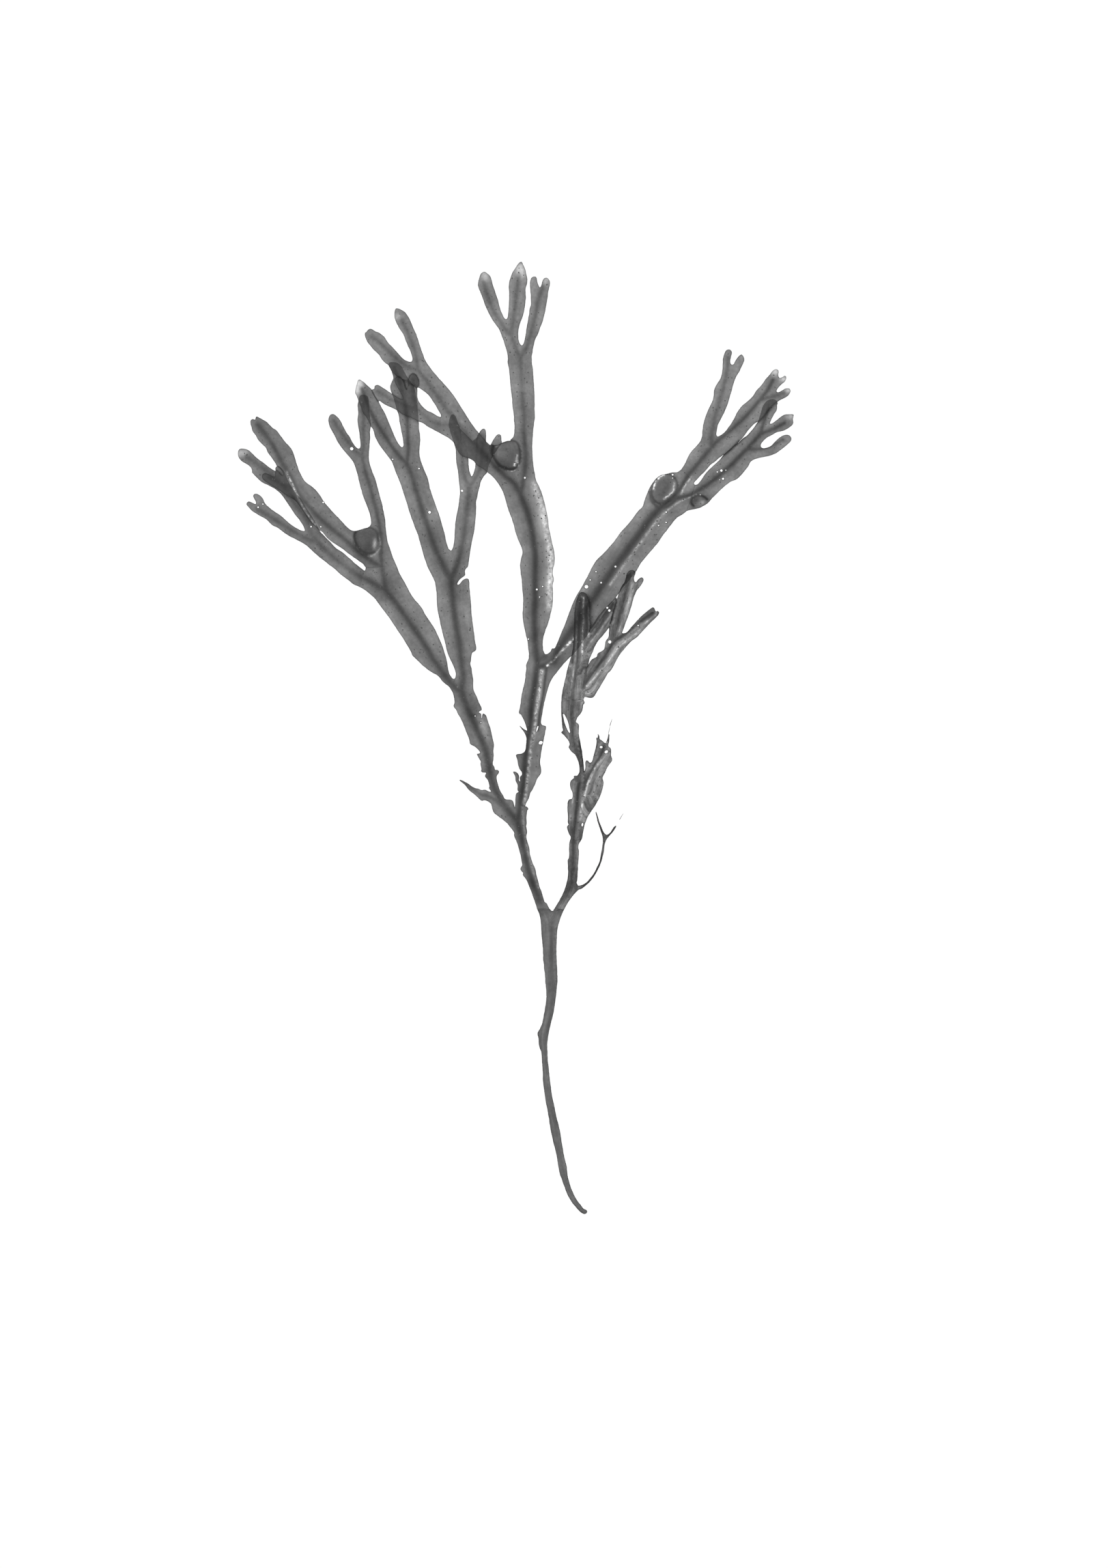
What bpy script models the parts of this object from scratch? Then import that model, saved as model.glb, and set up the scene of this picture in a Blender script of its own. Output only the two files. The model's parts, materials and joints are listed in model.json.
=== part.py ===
"""A pressed frond of bladder wrack, lying flat and split at its main forks."""

import math

import bpy
import numpy as np
from mathutils import Vector
from mathutils.geometry import delaunay_2d_cdt

MM = 0.001
CUT_GAP = 0.3
MARGIN_HALF = 0.16
BLADE_HALF = 0.22
RIB_SPREAD = 1.5
RIB_STEP = 6.0
SHOULDER = 1.3
BLADE_LEVEL = 0.85
STIPE_HALF = 1.2
STRAIGHT_RIBS = 4

# Outlines of the pieces in millimetres: the photograph's up is +Y, the plant lies on the XY plane.

STEM_EDGE = [
    (20.8, -139.0), (20.2, -139.4), (19.2, -139.0), (18.0, -137.8), (16.8, -136.3), (15.8, -134.8),
    (15.0, -133.2), (14.2, -131.0), (13.6, -129.3), (13.0, -127.6), (12.5, -125.0), (12.0, -122.0),
    (11.4, -119.5), (10.8, -117.0), (10.3, -114.5), (9.9, -112.0), (9.6, -110.0), (9.1, -107.5),
    (8.7, -105.0), (8.4, -103.0), (8.1, -100.5), (8.0, -97.5), (7.8, -94.5), (7.6, -92.0),
    (7.2, -91.0), (6.9, -89.8), (6.8, -88.2), (6.5, -87.0), (6.6, -86.2), (7.2, -85.2),
    (7.9, -83.5), (8.3, -81.5), (8.6, -79.8), (9.0, -77.0), (9.1, -75.5), (9.0, -73.5),
    (8.8, -71.5), (8.6, -69.0), (8.3, -66.0), (8.1, -64.0), (8.0, -61.0), (7.8, -59.0),
    (7.6, -57.0), (7.5, -54.5), (7.1, -52.0), (6.3, -50.0), (9.8, -50.2), (10.5, -50.9),
    (11.1, -50.7), (14.2, -50.0), (13.5, -51.5), (13.0, -52.8), (12.6, -54.0), (12.2, -55.5),
    (12.0, -57.0), (11.8, -61.0), (11.8, -63.0), (12.0, -67.5), (12.1, -70.0), (12.1, -71.5),
    (11.9, -73.5), (11.5, -77.0), (11.2, -79.0), (10.8, -81.0), (10.0, -84.5), (9.6, -86.0),
    (9.3, -88.0), (9.1, -90.0), (9.3, -94.5), (9.5, -97.0), (9.8, -99.5), (10.0, -101.2),
    (10.6, -105.3), (11.1, -107.5), (11.5, -109.5), (11.9, -111.5), (12.4, -113.3), (12.9, -115.6),
    (13.2, -117.6), (13.6, -120.0), (14.0, -122.2), (14.8, -125.8), (15.1, -128.3), (15.6, -130.4),
    (16.3, -132.4), (17.0, -134.0), (17.9, -135.6), (18.9, -136.9), (19.8, -138.0), (20.7, -138.4),
]

MIDDLE_STEM_EDGE = [
    (6.3, -50.0), (6.0, -48.8), (5.3, -46.9), (4.7, -45.2), (4.1, -43.7), (3.4, -42.0),
    (2.7, -40.9), (2.2, -40.2), (2.3, -39.6), (1.7, -39.0), (1.5, -38.3), (2.0, -37.3),
    (1.8, -36.0), (1.6, -34.8), (1.2, -33.2), (0.7, -31.5), (0.2, -30.0), (-0.4, -28.8),
    (-0.4, -27.8), (-1.0, -26.8), (-2.5, -25.0), (-3.8, -23.9), (-5.0, -23.0), (-6.2, -22.0),
    (-6.7, -21.0), (-6.9, -20.0), (-7.3, -19.2), (-8.2, -18.5), (-9.2, -18.2), (-10.0, -18.4),
    (-10.9, -17.6), (-12.0, -16.6), (-13.3, -15.6), (-14.2, -14.6), (-15.0, -13.6), (-16.5, -12.4),
    (-15.2, -12.9), (-14.0, -13.6), (-12.2, -14.8), (-11.0, -15.1), (-10.0, -15.5), (-9.0, -15.4),
    (-8.3, -15.7), (-7.5, -16.0), (-7.1, -15.7), (-7.8, -14.9), (-3.5, -17.8), (-2.9, -18.2),
    (-1.7, -18.3), (-0.9, -18.6), (-0.7, -19.3), (-0.5, -20.2), (-0.2, -20.6), (0.0, -19.0),
    (2.6, -20.2), (3.1, -20.3), (3.6, -20.8),
    (3.3, -21.3), (3.0, -23.5), (3.1, -25.0), (2.9, -26.0), (3.2, -27.5), (3.0, -29.0),
    (3.3, -30.5), (3.9, -32.5), (4.0, -34.0), (4.4, -35.4), (4.8, -36.8), (5.4, -38.0),
    (5.7, -38.8), (5.9, -40.2), (6.4, -41.8), (6.8, -43.5), (7.4, -45.0), (7.8, -46.4),
    (8.2, -47.7), (8.4, -48.3), (8.9, -48.5), (9.3, -49.3), (9.8, -50.2),
]

LEFT_STEM_EDGE = [
    (-7.8, -14.9), (-7.6, -14.4), (-7.7, -13.6), (-8.1, -12.4), (-8.9, -11.3), (-8.6, -10.5),
    (-8.7, -10.2), (-10.0, -10.0), (-9.9, -9.2), (-10.2, -7.8), (-10.1, -7.0), (-10.8, -5.8),
    (-11.3, -4.9), (-10.7, -4.8), (-10.3, -4.3), (-11.0, -3.4), (-12.0, -2.5), (-13.2, -1.9),
    (-13.4, -1.0), (-13.7, 0.0), (-14.3, 1.5), (-15.2, 3.8), (-16.0, 5.6), (-16.8, 7.0),
    (-17.2, 8.0), (-18.1, 9.1), (-17.8, 10.2), (-17.9, 11.4), (-18.2, 12.8), (-18.8, 14.0),
    (-19.6, 15.1), (-18.7, 17.3), (-18.1, 17.0), (-17.6, 17.4), (-12.9, 18.8), (-12.6, 17.2),
    (-12.6, 15.0), (-12.3, 13.5), (-11.5, 11.8), (-10.9, 10.2), (-10.2, 8.9), (-10.1, 8.0),
    (-10.6, 7.9), (-10.9, 7.4), (-10.7, 7.1), (-10.2, 6.9), (-10.1, 5.6), (-9.8, 5.6),
    (-9.7, 6.7), (-9.5, 6.9), (-8.8, 6.4), (-8.4, 5.2), (-7.9, 3.8), (-7.4, 2.0),
    (-7.0, 0.2), (-6.5, -2.0), (-6.7, -3.9), (-6.6, -5.0), (-6.7, -6.5), (-6.9, -7.8),
    (-6.4, -8.6), (-6.2, -9.5), (-5.6, -9.6), (-5.1, -9.7), (-5.0, -10.2), (-5.6, -11.0),
    (-5.7, -12.2), (-5.4, -13.5), (-5.0, -14.8), (-4.5, -15.9), (-3.8, -17.0), (-3.5, -17.8),
]

LEFT_BRANCH_EDGE = [
    (-19.6, 15.1), (-20.8, 16.0), (-21.5, 16.7), (-22.0, 17.4), (-23.0, 18.3), (-25.0, 19.5),
    (-27.0, 21.0), (-28.5, 22.5), (-30.0, 23.9), (-30.6, 25.2), (-32.0, 27.6), (-33.5, 30.0),
    (-35.0, 32.2), (-37.0, 35.2), (-38.5, 37.2), (-40.0, 39.2), (-41.2, 40.8), (-42.5, 42.0),
    (-44.0, 43.2), (-45.5, 44.1), (-44.4, 48.7), (-43.9, 49.0), (-43.8, 49.8), (-35.0, 50.2),
    (-34.0, 47.7), (-32.7, 45.5), (-31.3, 42.8), (-30.0, 40.7), (-28.7, 39.2), (-27.5, 37.7),
    (-26.5, 35.8), (-25.2, 33.8), (-23.8, 31.7), (-22.8, 29.5), (-21.7, 27.0), (-20.9, 24.6),
    (-20.2, 22.0), (-19.9, 20.0), (-19.4, 18.4), (-18.7, 17.3),
]

LEFT_LOWER_ARM_EDGE = [
    (-45.5, 44.1), (-47.5, 45.0), (-49.0, 46.2), (-51.0, 47.7), (-53.0, 49.5), (-55.5, 51.4),
    (-58.0, 53.4), (-60.0, 55.2), (-61.5, 56.5), (-63.5, 57.7), (-65.5, 58.7), (-67.5, 59.9),
    (-69.5, 61.4), (-71.3, 62.3), (-72.8, 63.8), (-75.0, 65.1), (-77.0, 66.3), (-78.2, 67.6),
    (-78.7, 68.3), (-78.3, 69.0), (-77.5, 68.8), (-76.3, 68.2), (-75.9, 68.5), (-76.2, 69.5),
    (-76.8, 70.7), (-76.2, 71.3), (-75.0, 70.8), (-74.2, 69.9), (-73.5, 68.5), (-72.0, 67.0),
    (-70.3, 65.8), (-68.5, 64.5), (-66.5, 62.7), (-65.0, 61.6), (-63.3, 60.7), (-62.0, 60.3),
    (-61.6, 60.7), (-62.0, 61.8), (-63.0, 63.4), (-64.5, 65.3), (-66.0, 67.6), (-67.5, 69.8),
    (-68.8, 71.5), (-70.5, 72.9), (-72.5, 74.0), (-74.5, 75.0), (-75.7, 76.2), (-77.0, 77.5),
    (-77.1, 78.1), (-77.5, 79.2), (-79.0, 80.3), (-80.3, 81.1), (-81.1, 82.3), (-81.2, 83.4),
    (-80.8, 84.3), (-79.8, 84.4), (-78.3, 84.0), (-77.0, 82.8), (-75.5, 81.4), (-73.8, 80.2),
    (-72.0, 78.8), (-70.5, 77.9), (-70.0, 77.6), (-70.3, 78.7), (-69.7, 79.4), (-69.0, 79.0),
    (-68.0, 78.0), (-67.5, 77.0), (-66.7, 75.0), (-65.5, 73.0), (-64.5, 71.5), (-63.0, 69.8),
    (-61.5, 67.3), (-60.0, 65.0), (-58.5, 62.5), (-57.3, 60.2), (-57.0, 59.8), (-55.5, 58.3),
    (-53.8, 56.5), (-52.5, 55.2), (-50.8, 54.1), (-49.0, 52.6), (-47.5, 51.2), (-46.0, 50.0),
    (-44.4, 48.7),
]

LEFT_UPPER_ARM_EDGE = [
    (-43.8, 49.8), (-44.8, 51.0), (-46.5, 52.2), (-48.5, 53.6), (-50.5, 55.2), (-52.5, 56.5),
    (-54.0, 57.5), (-55.3, 58.7), (-56.5, 60.2), (-57.6, 60.9), (-59.5, 62.8), (-61.0, 64.5),
    (-62.3, 66.5), (-63.5, 68.3), (-64.6, 69.6), (-66.0, 70.4), (-67.4, 71.2), (-69.0, 72.4),
    (-71.0, 73.6), (-73.2, 75.0), (-74.1, 76.0), (-74.0, 76.9), (-73.2, 77.2), (-72.0, 76.7),
    (-70.8, 76.1), (-70.3, 76.3), (-70.3, 77.2), (-70.2, 78.2), (-69.6, 77.9), (-69.0, 77.0),
    (-68.3, 76.5), (-67.9, 77.0), (-68.3, 78.1), (-69.2, 79.0), (-69.8, 79.4), (-70.3, 80.5),
    (-71.5, 82.1), (-72.5, 83.6), (-73.0, 84.8), (-74.2, 86.0), (-75.3, 87.2), (-76.0, 88.5),
    (-77.0, 89.8), (-77.2, 90.8), (-77.5, 91.8), (-77.5, 92.8), (-77.0, 93.1), (-76.2, 92.9),
    (-75.9, 93.9), (-75.3, 93.6), (-74.0, 92.9), (-72.6, 91.9), (-71.3, 90.5), (-70.2, 89.9),
    (-69.0, 88.3), (-67.5, 86.3), (-66.4, 85.2), (-65.4, 83.8), (-64.8, 82.0), (-64.2, 80.0),
    (-63.3, 77.5), (-62.2, 75.5), (-61.3, 74.4), (-60.0, 73.5), (-58.5, 72.2), (-57.2, 70.5),
    (-56.0, 68.6), (-54.0, 66.3), (-52.0, 64.2), (-50.0, 62.0), (-48.5, 60.7), (-47.5, 60.3),
    (-46.4, 60.4), (-44.0, 61.1), (-43.0, 61.4), (-42.3, 62.2), (-42.2, 63.5), (-42.6, 65.5),
    (-43.3, 67.5), (-44.3, 70.0), (-45.0, 72.2), (-45.7, 74.8), (-46.2, 77.0), (-46.8, 79.0),
    (-47.5, 80.7), (-48.7, 82.3), (-50.3, 84.2), (-51.7, 86.0), (-53.0, 88.5), (-54.0, 90.3),
    (-54.6, 91.8), (-54.7, 93.2), (-54.3, 94.3), (-53.5, 94.6), (-52.5, 93.9), (-51.5, 92.8),
    (-50.8, 91.3), (-49.8, 89.5), (-48.8, 88.0), (-48.0, 86.5), (-47.2, 85.3), (-46.3, 84.5),
    (-45.6, 84.6), (-45.3, 85.5), (-45.5, 87.5), (-45.7, 89.5), (-46.0, 91.0), (-46.2, 92.8),
    (-46.0, 95.0), (-46.2, 97.0), (-46.0, 98.2), (-45.4, 100.0), (-43.8, 100.0), (-43.2, 99.0),
    (-43.0, 97.0), (-42.8, 94.0), (-42.5, 92.0), (-42.6, 91.0), (-42.8, 89.5), (-42.7, 88.0),
    (-42.9, 86.0), (-43.1, 83.5), (-43.1, 81.5), (-42.7, 79.5), (-42.0, 77.5), (-41.2, 75.5),
    (-40.6, 73.2), (-40.0, 71.0), (-39.3, 68.5), (-38.8, 66.0), (-38.3, 63.5), (-38.2, 61.5),
    (-37.9, 59.5), (-37.7, 57.8), (-37.0, 55.5), (-36.2, 53.0), (-35.0, 50.2),
]

INNER_LEFT_BRANCH_EDGE = [
    (-12.9, 18.8), (-13.0, 20.0), (-13.4, 21.5), (-13.2, 22.6), (-13.1, 23.8), (-12.8, 24.9),
    (-11.7, 25.8), (-12.0, 28.0), (-12.4, 31.0), (-12.8, 34.0), (-13.1, 36.5), (-13.2, 39.0),
    (-13.5, 42.0), (-13.8, 45.9), (-14.3, 46.4), (-14.8, 46.3), (-15.5, 45.9), (-16.2, 45.0),
    (-16.8, 44.6), (-17.2, 44.8), (-17.1, 45.4), (-16.5, 46.3), (-15.6, 47.0), (-14.9, 47.6),
    (-15.0, 48.8), (-14.6, 49.6), (-14.1, 50.2), (-13.6, 53.5), (-18.6, 54.8), (-19.1, 54.6),
    (-19.8, 55.2), (-26.6, 52.5), (-25.8, 50.3), (-24.7, 48.0), (-23.7, 46.0), (-23.4, 44.8),
    (-23.1, 42.5), (-23.0, 40.5), (-22.9, 38.5), (-22.6, 36.5), (-22.1, 34.0), (-21.6, 31.8),
    (-21.0, 29.5), (-20.5, 27.5), (-20.0, 25.2), (-19.2, 23.2), (-18.3, 21.3), (-17.6, 19.6),
    (-17.4, 18.4), (-17.6, 17.4),
]

INNER_LEFT_ARM_EDGE = [
    (-19.8, 55.2), (-20.4, 57.0), (-21.0, 59.8), (-21.8, 62.5), (-22.5, 65.0), (-23.3, 67.3),
    (-24.3, 70.0), (-25.2, 72.8), (-25.8, 75.5), (-26.6, 77.5), (-27.5, 79.8), (-28.1, 81.5),
    (-28.3, 83.5), (-28.1, 87.5), (-28.4, 90.0), (-28.5, 92.3), (-28.6, 94.0), (-28.8, 96.0),
    (-28.9, 98.0), (-29.2, 99.7), (-29.5, 101.2), (-29.9, 102.6), (-30.6, 103.6), (-31.3, 104.6),
    (-32.0, 105.6), (-32.6, 106.7), (-33.2, 107.9), (-34.0, 108.9), (-35.0, 109.5), (-36.0, 109.6),
    (-36.8, 109.5), (-37.1, 109.1), (-36.9, 108.5), (-36.4, 107.6), (-36.0, 106.6), (-35.7, 105.4),
    (-35.8, 104.8), (-36.3, 103.8), (-36.6, 102.7), (-36.5, 101.8), (-36.1, 100.6), (-35.6, 99.2),
    (-35.1, 97.5), (-34.7, 95.9), (-34.2, 94.5), (-33.8, 92.0), (-33.3, 89.5), (-33.0, 87.8),
    (-32.7, 85.7), (-33.1, 84.9), (-33.8, 85.1), (-34.7, 86.3), (-35.7, 88.3), (-36.6, 90.5),
    (-37.6, 93.0), (-38.6, 95.2), (-39.8, 97.3), (-40.5, 98.8), (-41.5, 100.5), (-42.3, 101.8),
    (-43.5, 102.9), (-44.6, 103.9), (-45.6, 104.6), (-46.1, 104.4), (-46.9, 101.2), (-46.5, 100.2),
    (-45.9, 98.5), (-45.2, 96.8), (-44.6, 95.0), (-43.6, 93.8), (-42.7, 92.0), (-42.3, 91.0),
    (-41.7, 90.3), (-41.0, 88.0), (-40.0, 86.0), (-38.6, 84.0), (-37.4, 82.5), (-36.2, 80.8),
    (-35.3, 78.5), (-34.5, 76.5), (-33.5, 74.0), (-32.7, 71.5), (-31.8, 68.8), (-31.1, 66.3),
    (-30.3, 64.0), (-29.5, 61.8), (-28.7, 59.8), (-28.0, 57.5), (-27.3, 55.0), (-26.6, 52.5),
]

INNER_RIGHT_ARM_EDGE = [
    (-13.6, 53.5), (-13.2, 56.0), (-12.7, 58.5), (-12.2, 61.0), (-11.9, 64.0), (-11.7, 67.0),
    (-11.7, 69.0), (-11.3, 71.0), (-10.8, 73.0), (-10.3, 75.0), (-9.5, 76.5), (-8.4, 77.7),
    (-8.0, 79.5), (-6.8, 82.0), (-5.2, 84.5), (-4.2, 86.2), (-4.3, 87.0), (-4.4, 88.3),
    (-5.0, 88.7), (-5.7, 88.2), (-6.6, 86.9), (-7.4, 85.5), (-8.0, 85.4), (-8.8, 86.7),
    (-8.8, 88.5), (-9.0, 90.0), (-9.5, 90.3), (-10.2, 89.8), (-10.7, 88.9), (-11.3, 87.5),
    (-11.5, 85.0), (-11.6, 82.0), (-11.7, 79.6), (-11.9, 78.5), (-12.4, 77.0), (-12.9, 76.3),
    (-13.2, 76.6), (-13.7, 78.0), (-13.9, 79.5), (-14.0, 81.0), (-14.3, 84.0), (-15.5, 88.0),
    (-17.0, 92.0), (-17.8, 94.0), (-18.8, 94.0), (-19.4, 91.0), (-17.6, 85.0), (-17.4, 83.5),
    (-17.3, 81.0), (-16.8, 78.0), (-16.5, 75.0), (-16.2, 72.0), (-16.5, 69.0), (-16.9, 66.5),
    (-17.4, 64.0), (-17.7, 61.0), (-17.8, 58.5), (-18.1, 56.3), (-18.6, 54.8),
]

CENTRE_STEM_EDGE = [
    (0.0, -19.0), (0.0, -17.8), (0.2, -16.5), (1.0, -15.9), (0.6, -15.3), (0.7, -14.0),
    (0.1, -12.8), (0.0, -11.5), (-0.3, -10.8), (-0.7, -10.1), (0.1, -10.2), (0.7, -10.9),
    (0.9, -11.6), (0.8, -12.5), (1.3, -13.0), (1.4, -12.8), (1.3, -11.7), (1.9, -11.0),
    (1.8, -10.0), (1.2, -9.2), (0.8, -8.0), (0.6, -6.7), (0.2, -5.3), (0.3, -5.0),
    (1.7, -4.8), (2.6, -4.3), (3.0, -3.3), (3.2, -1.0), (3.2, 0.0), (2.7, 1.3),
    (1.9, 2.5), (1.3, 3.2), (2.3, 2.4), (3.3, 1.9), (3.4, 2.3), (3.0, 3.8),
    (2.4, 5.3), (1.6, 6.8), (1.0, 7.2), (1.4, 9.0), (1.8, 12.0), (2.3, 14.5),
    (2.8, 16.5), (3.0, 18.5), (3.2, 20.0), (3.2, 21.3), (3.9, 23.0), (4.0, 24.5),
    (7.9, 25.5), (8.6, 24.3), (9.4, 24.4), (13.0, 20.5), (11.8, 19.0), (10.5, 17.2),
    (9.5, 15.0), (8.8, 12.5), (8.2, 10.0), (7.8, 7.8), (7.4, 5.5), (7.3, 4.2),
    (7.8, 3.5), (8.6, 3.3), (8.8, 3.0), (8.6, 2.0), (8.2, 0.0), (7.8, -2.0),
    (7.4, -4.0), (7.2, -5.5), (7.0, -7.5), (7.3, -9.0), (7.3, -10.2), (7.1, -10.8),
    (6.2, -12.0), (5.6, -13.5), (4.9, -15.0), (4.2, -16.2), (3.7, -17.8), (3.0, -19.0),
    (2.6, -20.2),
]

CENTRE_BRANCH_EDGE = [
    (4.0, 24.5), (3.8, 26.0), (3.5, 28.5), (3.1, 30.0), (2.7, 32.0), (2.3, 34.0),
    (2.1, 36.0), (2.2, 38.0), (2.3, 40.0), (2.2, 42.0), (2.0, 44.0), (1.9, 46.0),
    (1.6, 48.0), (1.4, 50.0), (1.6, 52.0), (2.1, 54.0), (1.9, 55.5), (1.4, 56.6),
    (0.7, 58.2), (0.1, 60.0), (-0.4, 62.0), (-1.0, 64.0), (-1.8, 66.0), (-2.6, 68.5),
    (-3.3, 71.0), (-4.0, 72.6), (-5.2, 74.6), (-6.6, 76.3), (-8.5, 77.8), (-7.6, 85.4),
    (-6.8, 85.5), (-5.8, 85.3), (-4.0, 86.1), (-2.5, 86.6), (-1.5, 86.7), (-1.3, 87.2),
    (-0.6, 87.8), (-0.3, 89.0), (4.9, 89.0), (4.8, 87.0), (4.7, 84.0), (4.9, 81.0),
    (5.1, 79.0), (5.5, 77.0), (5.9, 75.0), (6.6, 73.7), (7.5, 71.5), (8.2, 69.0),
    (8.8, 66.5), (9.3, 64.0), (9.6, 61.5), (10.0, 59.5), (10.5, 57.0), (11.0, 55.0),
    (11.3, 53.0), (11.2, 51.0), (10.8, 49.5), (10.7, 48.0), (11.0, 46.2), (10.7, 44.5),
    (10.8, 41.5), (10.6, 38.8), (10.3, 37.2), (9.8, 35.0), (9.2, 33.0), (8.5, 31.2),
    (8.0, 29.5), (7.8, 27.5), (7.9, 25.5),
]

CENTRE_TOP_ARM_EDGE = [
    (4.9, 89.0), (5.1, 91.0), (5.3, 92.5), (5.5, 94.0), (5.4, 96.0), (5.4, 98.5),
    (5.3, 101.0), (5.1, 105.0), (4.9, 107.5), (4.6, 109.5), (4.6, 111.5), (4.8, 113.0),
    (5.1, 114.8), (5.6, 116.5), (6.4, 118.2), (7.0, 120.0), (7.7, 121.7), (8.2, 123.5),
    (8.6, 125.5), (9.0, 127.5), (9.3, 129.5), (9.6, 131.5), (9.9, 132.5), (9.8, 133.6),
    (9.1, 134.5), (8.3, 134.2), (7.9, 133.5), (7.6, 132.3), (7.1, 131.6), (6.6, 132.2),
    (6.2, 133.5), (5.9, 134.7), (5.3, 134.8), (4.6, 134.3), (4.3, 133.0), (4.4, 131.0),
    (4.6, 127.0), (4.2, 125.5), (4.0, 124.0), (3.7, 122.0), (3.4, 120.5), (3.1, 118.5),
    (2.8, 116.8), (2.4, 115.3), (1.8, 114.6), (1.1, 115.2), (0.7, 116.5), (0.6, 118.5),
    (0.8, 120.0), (1.2, 121.5), (1.9, 123.2), (2.3, 124.8), (2.6, 126.5), (2.8, 128.5),
    (2.7, 130.5), (2.8, 131.6), (3.2, 133.0), (3.3, 134.2), (3.0, 135.5), (2.7, 136.8),
    (2.2, 138.0), (1.6, 139.2), (0.6, 138.3), (-0.1, 137.2), (-0.6, 136.5), (-1.0, 135.8),
    (-1.4, 134.6), (-1.8, 133.4), (-1.9, 131.5), (-1.8, 129.5), (-1.9, 127.5), (-2.0, 125.5),
    (-2.1, 124.0), (-2.3, 122.8), (-2.8, 122.3), (-3.3, 122.6), (-3.9, 123.5), (-4.5, 125.0),
    (-5.0, 126.7), (-5.5, 128.5), (-6.1, 130.3), (-6.6, 131.7), (-7.0, 133.0), (-7.3, 134.3),
    (-7.8, 135.2), (-8.5, 135.8), (-9.1, 136.2), (-9.8, 136.0), (-10.3, 135.4), (-10.6, 134.2),
    (-10.9, 133.0), (-10.7, 131.5), (-10.1, 130.0), (-9.5, 128.5), (-8.8, 126.5), (-8.0, 124.7),
    (-7.1, 122.9), (-6.0, 121.3), (-4.8, 119.6), (-4.2, 118.2), (-3.4, 116.0), (-2.8, 114.2),
    (-2.4, 112.8), (-2.2, 111.0), (-2.3, 109.8), (-1.9, 108.0), (-1.7, 106.0), (-1.5, 104.0),
    (-1.3, 102.0), (-1.0, 99.5), (-0.8, 97.0), (-0.5, 95.0), (-0.4, 93.0), (-0.2, 91.0),
    (-0.3, 89.0),
]

CENTRE_LEFT_ARM_EDGE = [
    (-7.6, 85.4), (-9.0, 86.7), (-10.5, 88.5), (-12.0, 90.3), (-13.5, 92.4), (-15.0, 94.8),
    (-16.5, 97.2), (-18.2, 99.8), (-20.0, 102.1), (-22.2, 104.5), (-24.0, 106.6), (-25.8, 109.0),
    (-26.9, 111.0), (-27.8, 113.5), (-28.6, 116.0), (-29.1, 117.6), (-30.0, 119.6), (-30.8, 121.6),
    (-31.8, 123.5), (-32.9, 124.7), (-34.8, 125.5), (-35.3, 124.9), (-35.4, 123.2), (-35.0, 121.8),
    (-34.0, 119.8), (-32.9, 118.2), (-32.2, 116.5), (-31.4, 114.5), (-30.6, 112.8), (-30.1, 111.0),
    (-30.2, 110.0), (-31.0, 109.7), (-32.2, 110.1), (-33.4, 111.0), (-35.0, 112.8), (-36.5, 114.4),
    (-37.5, 115.5), (-38.5, 117.0), (-39.8, 118.2), (-41.2, 118.8), (-42.5, 119.5), (-43.3, 119.1),
    (-43.6, 118.6), (-44.0, 118.4), (-44.0, 117.4), (-43.3, 115.8), (-42.2, 114.4), (-41.2, 113.2),
    (-40.0, 112.1), (-39.2, 110.8), (-38.2, 109.7), (-37.0, 108.8), (-36.3, 107.4), (-35.0, 106.0),
    (-33.5, 105.2), (-32.3, 104.5), (-31.6, 104.0), (-31.0, 103.5), (-30.0, 103.0), (-29.0, 102.3),
    (-28.3, 102.3), (-27.2, 101.6), (-25.5, 100.2), (-24.0, 98.2), (-22.8, 96.2), (-21.7, 94.2),
    (-22.0, 93.5), (-22.0, 89.0), (-20.3, 88.1), (-18.3, 86.6), (-17.4, 85.0), (-16.5, 83.3),
    (-15.5, 82.3), (-14.0, 81.8), (-13.0, 81.4), (-12.0, 80.7), (-11.3, 79.7), (-10.3, 79.1),
    (-9.3, 78.5), (-8.5, 77.8),
]

CENTRE_SIDE_ARM_EDGE = [
    (-22.0, 93.5), (-23.0, 93.9), (-24.5, 94.8), (-26.0, 95.5), (-27.2, 96.5), (-28.3, 98.0),
    (-28.9, 99.5), (-28.9, 101.0), (-28.8, 102.2), (-28.4, 103.0), (-28.4, 104.2), (-28.8, 105.3),
    (-29.3, 106.0), (-30.0, 106.3), (-30.7, 105.9), (-31.1, 105.2), (-31.4, 104.2), (-31.5, 103.2),
    (-31.5, 102.2), (-31.8, 101.6), (-32.2, 101.8), (-32.5, 102.6), (-32.9, 103.9), (-33.4, 104.9),
    (-34.0, 105.4), (-34.8, 105.4), (-35.4, 104.8), (-35.2, 103.9), (-34.6, 102.6), (-33.9, 101.4),
    (-33.2, 100.2), (-32.8, 99.3), (-33.0, 98.8), (-33.7, 98.9), (-34.6, 99.3), (-35.5, 99.9),
    (-36.3, 100.4), (-37.5, 101.2), (-38.5, 101.9), (-39.3, 102.4), (-40.0, 102.8), (-40.6, 102.95),
    (-41.2, 102.6), (-41.3, 101.8), (-42.1, 101.6), (-42.0, 101.0), (-41.4, 100.0), (-40.8, 99.0),
    (-40.2, 98.2), (-39.8, 98.6), (-38.5, 97.6), (-37.0, 96.9), (-35.0, 96.0), (-33.0, 94.6),
    (-31.0, 93.9), (-30.0, 93.3), (-28.3, 92.5), (-27.0, 91.9), (-25.5, 90.9), (-24.0, 90.1),
    (-22.0, 89.0),
]

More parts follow.
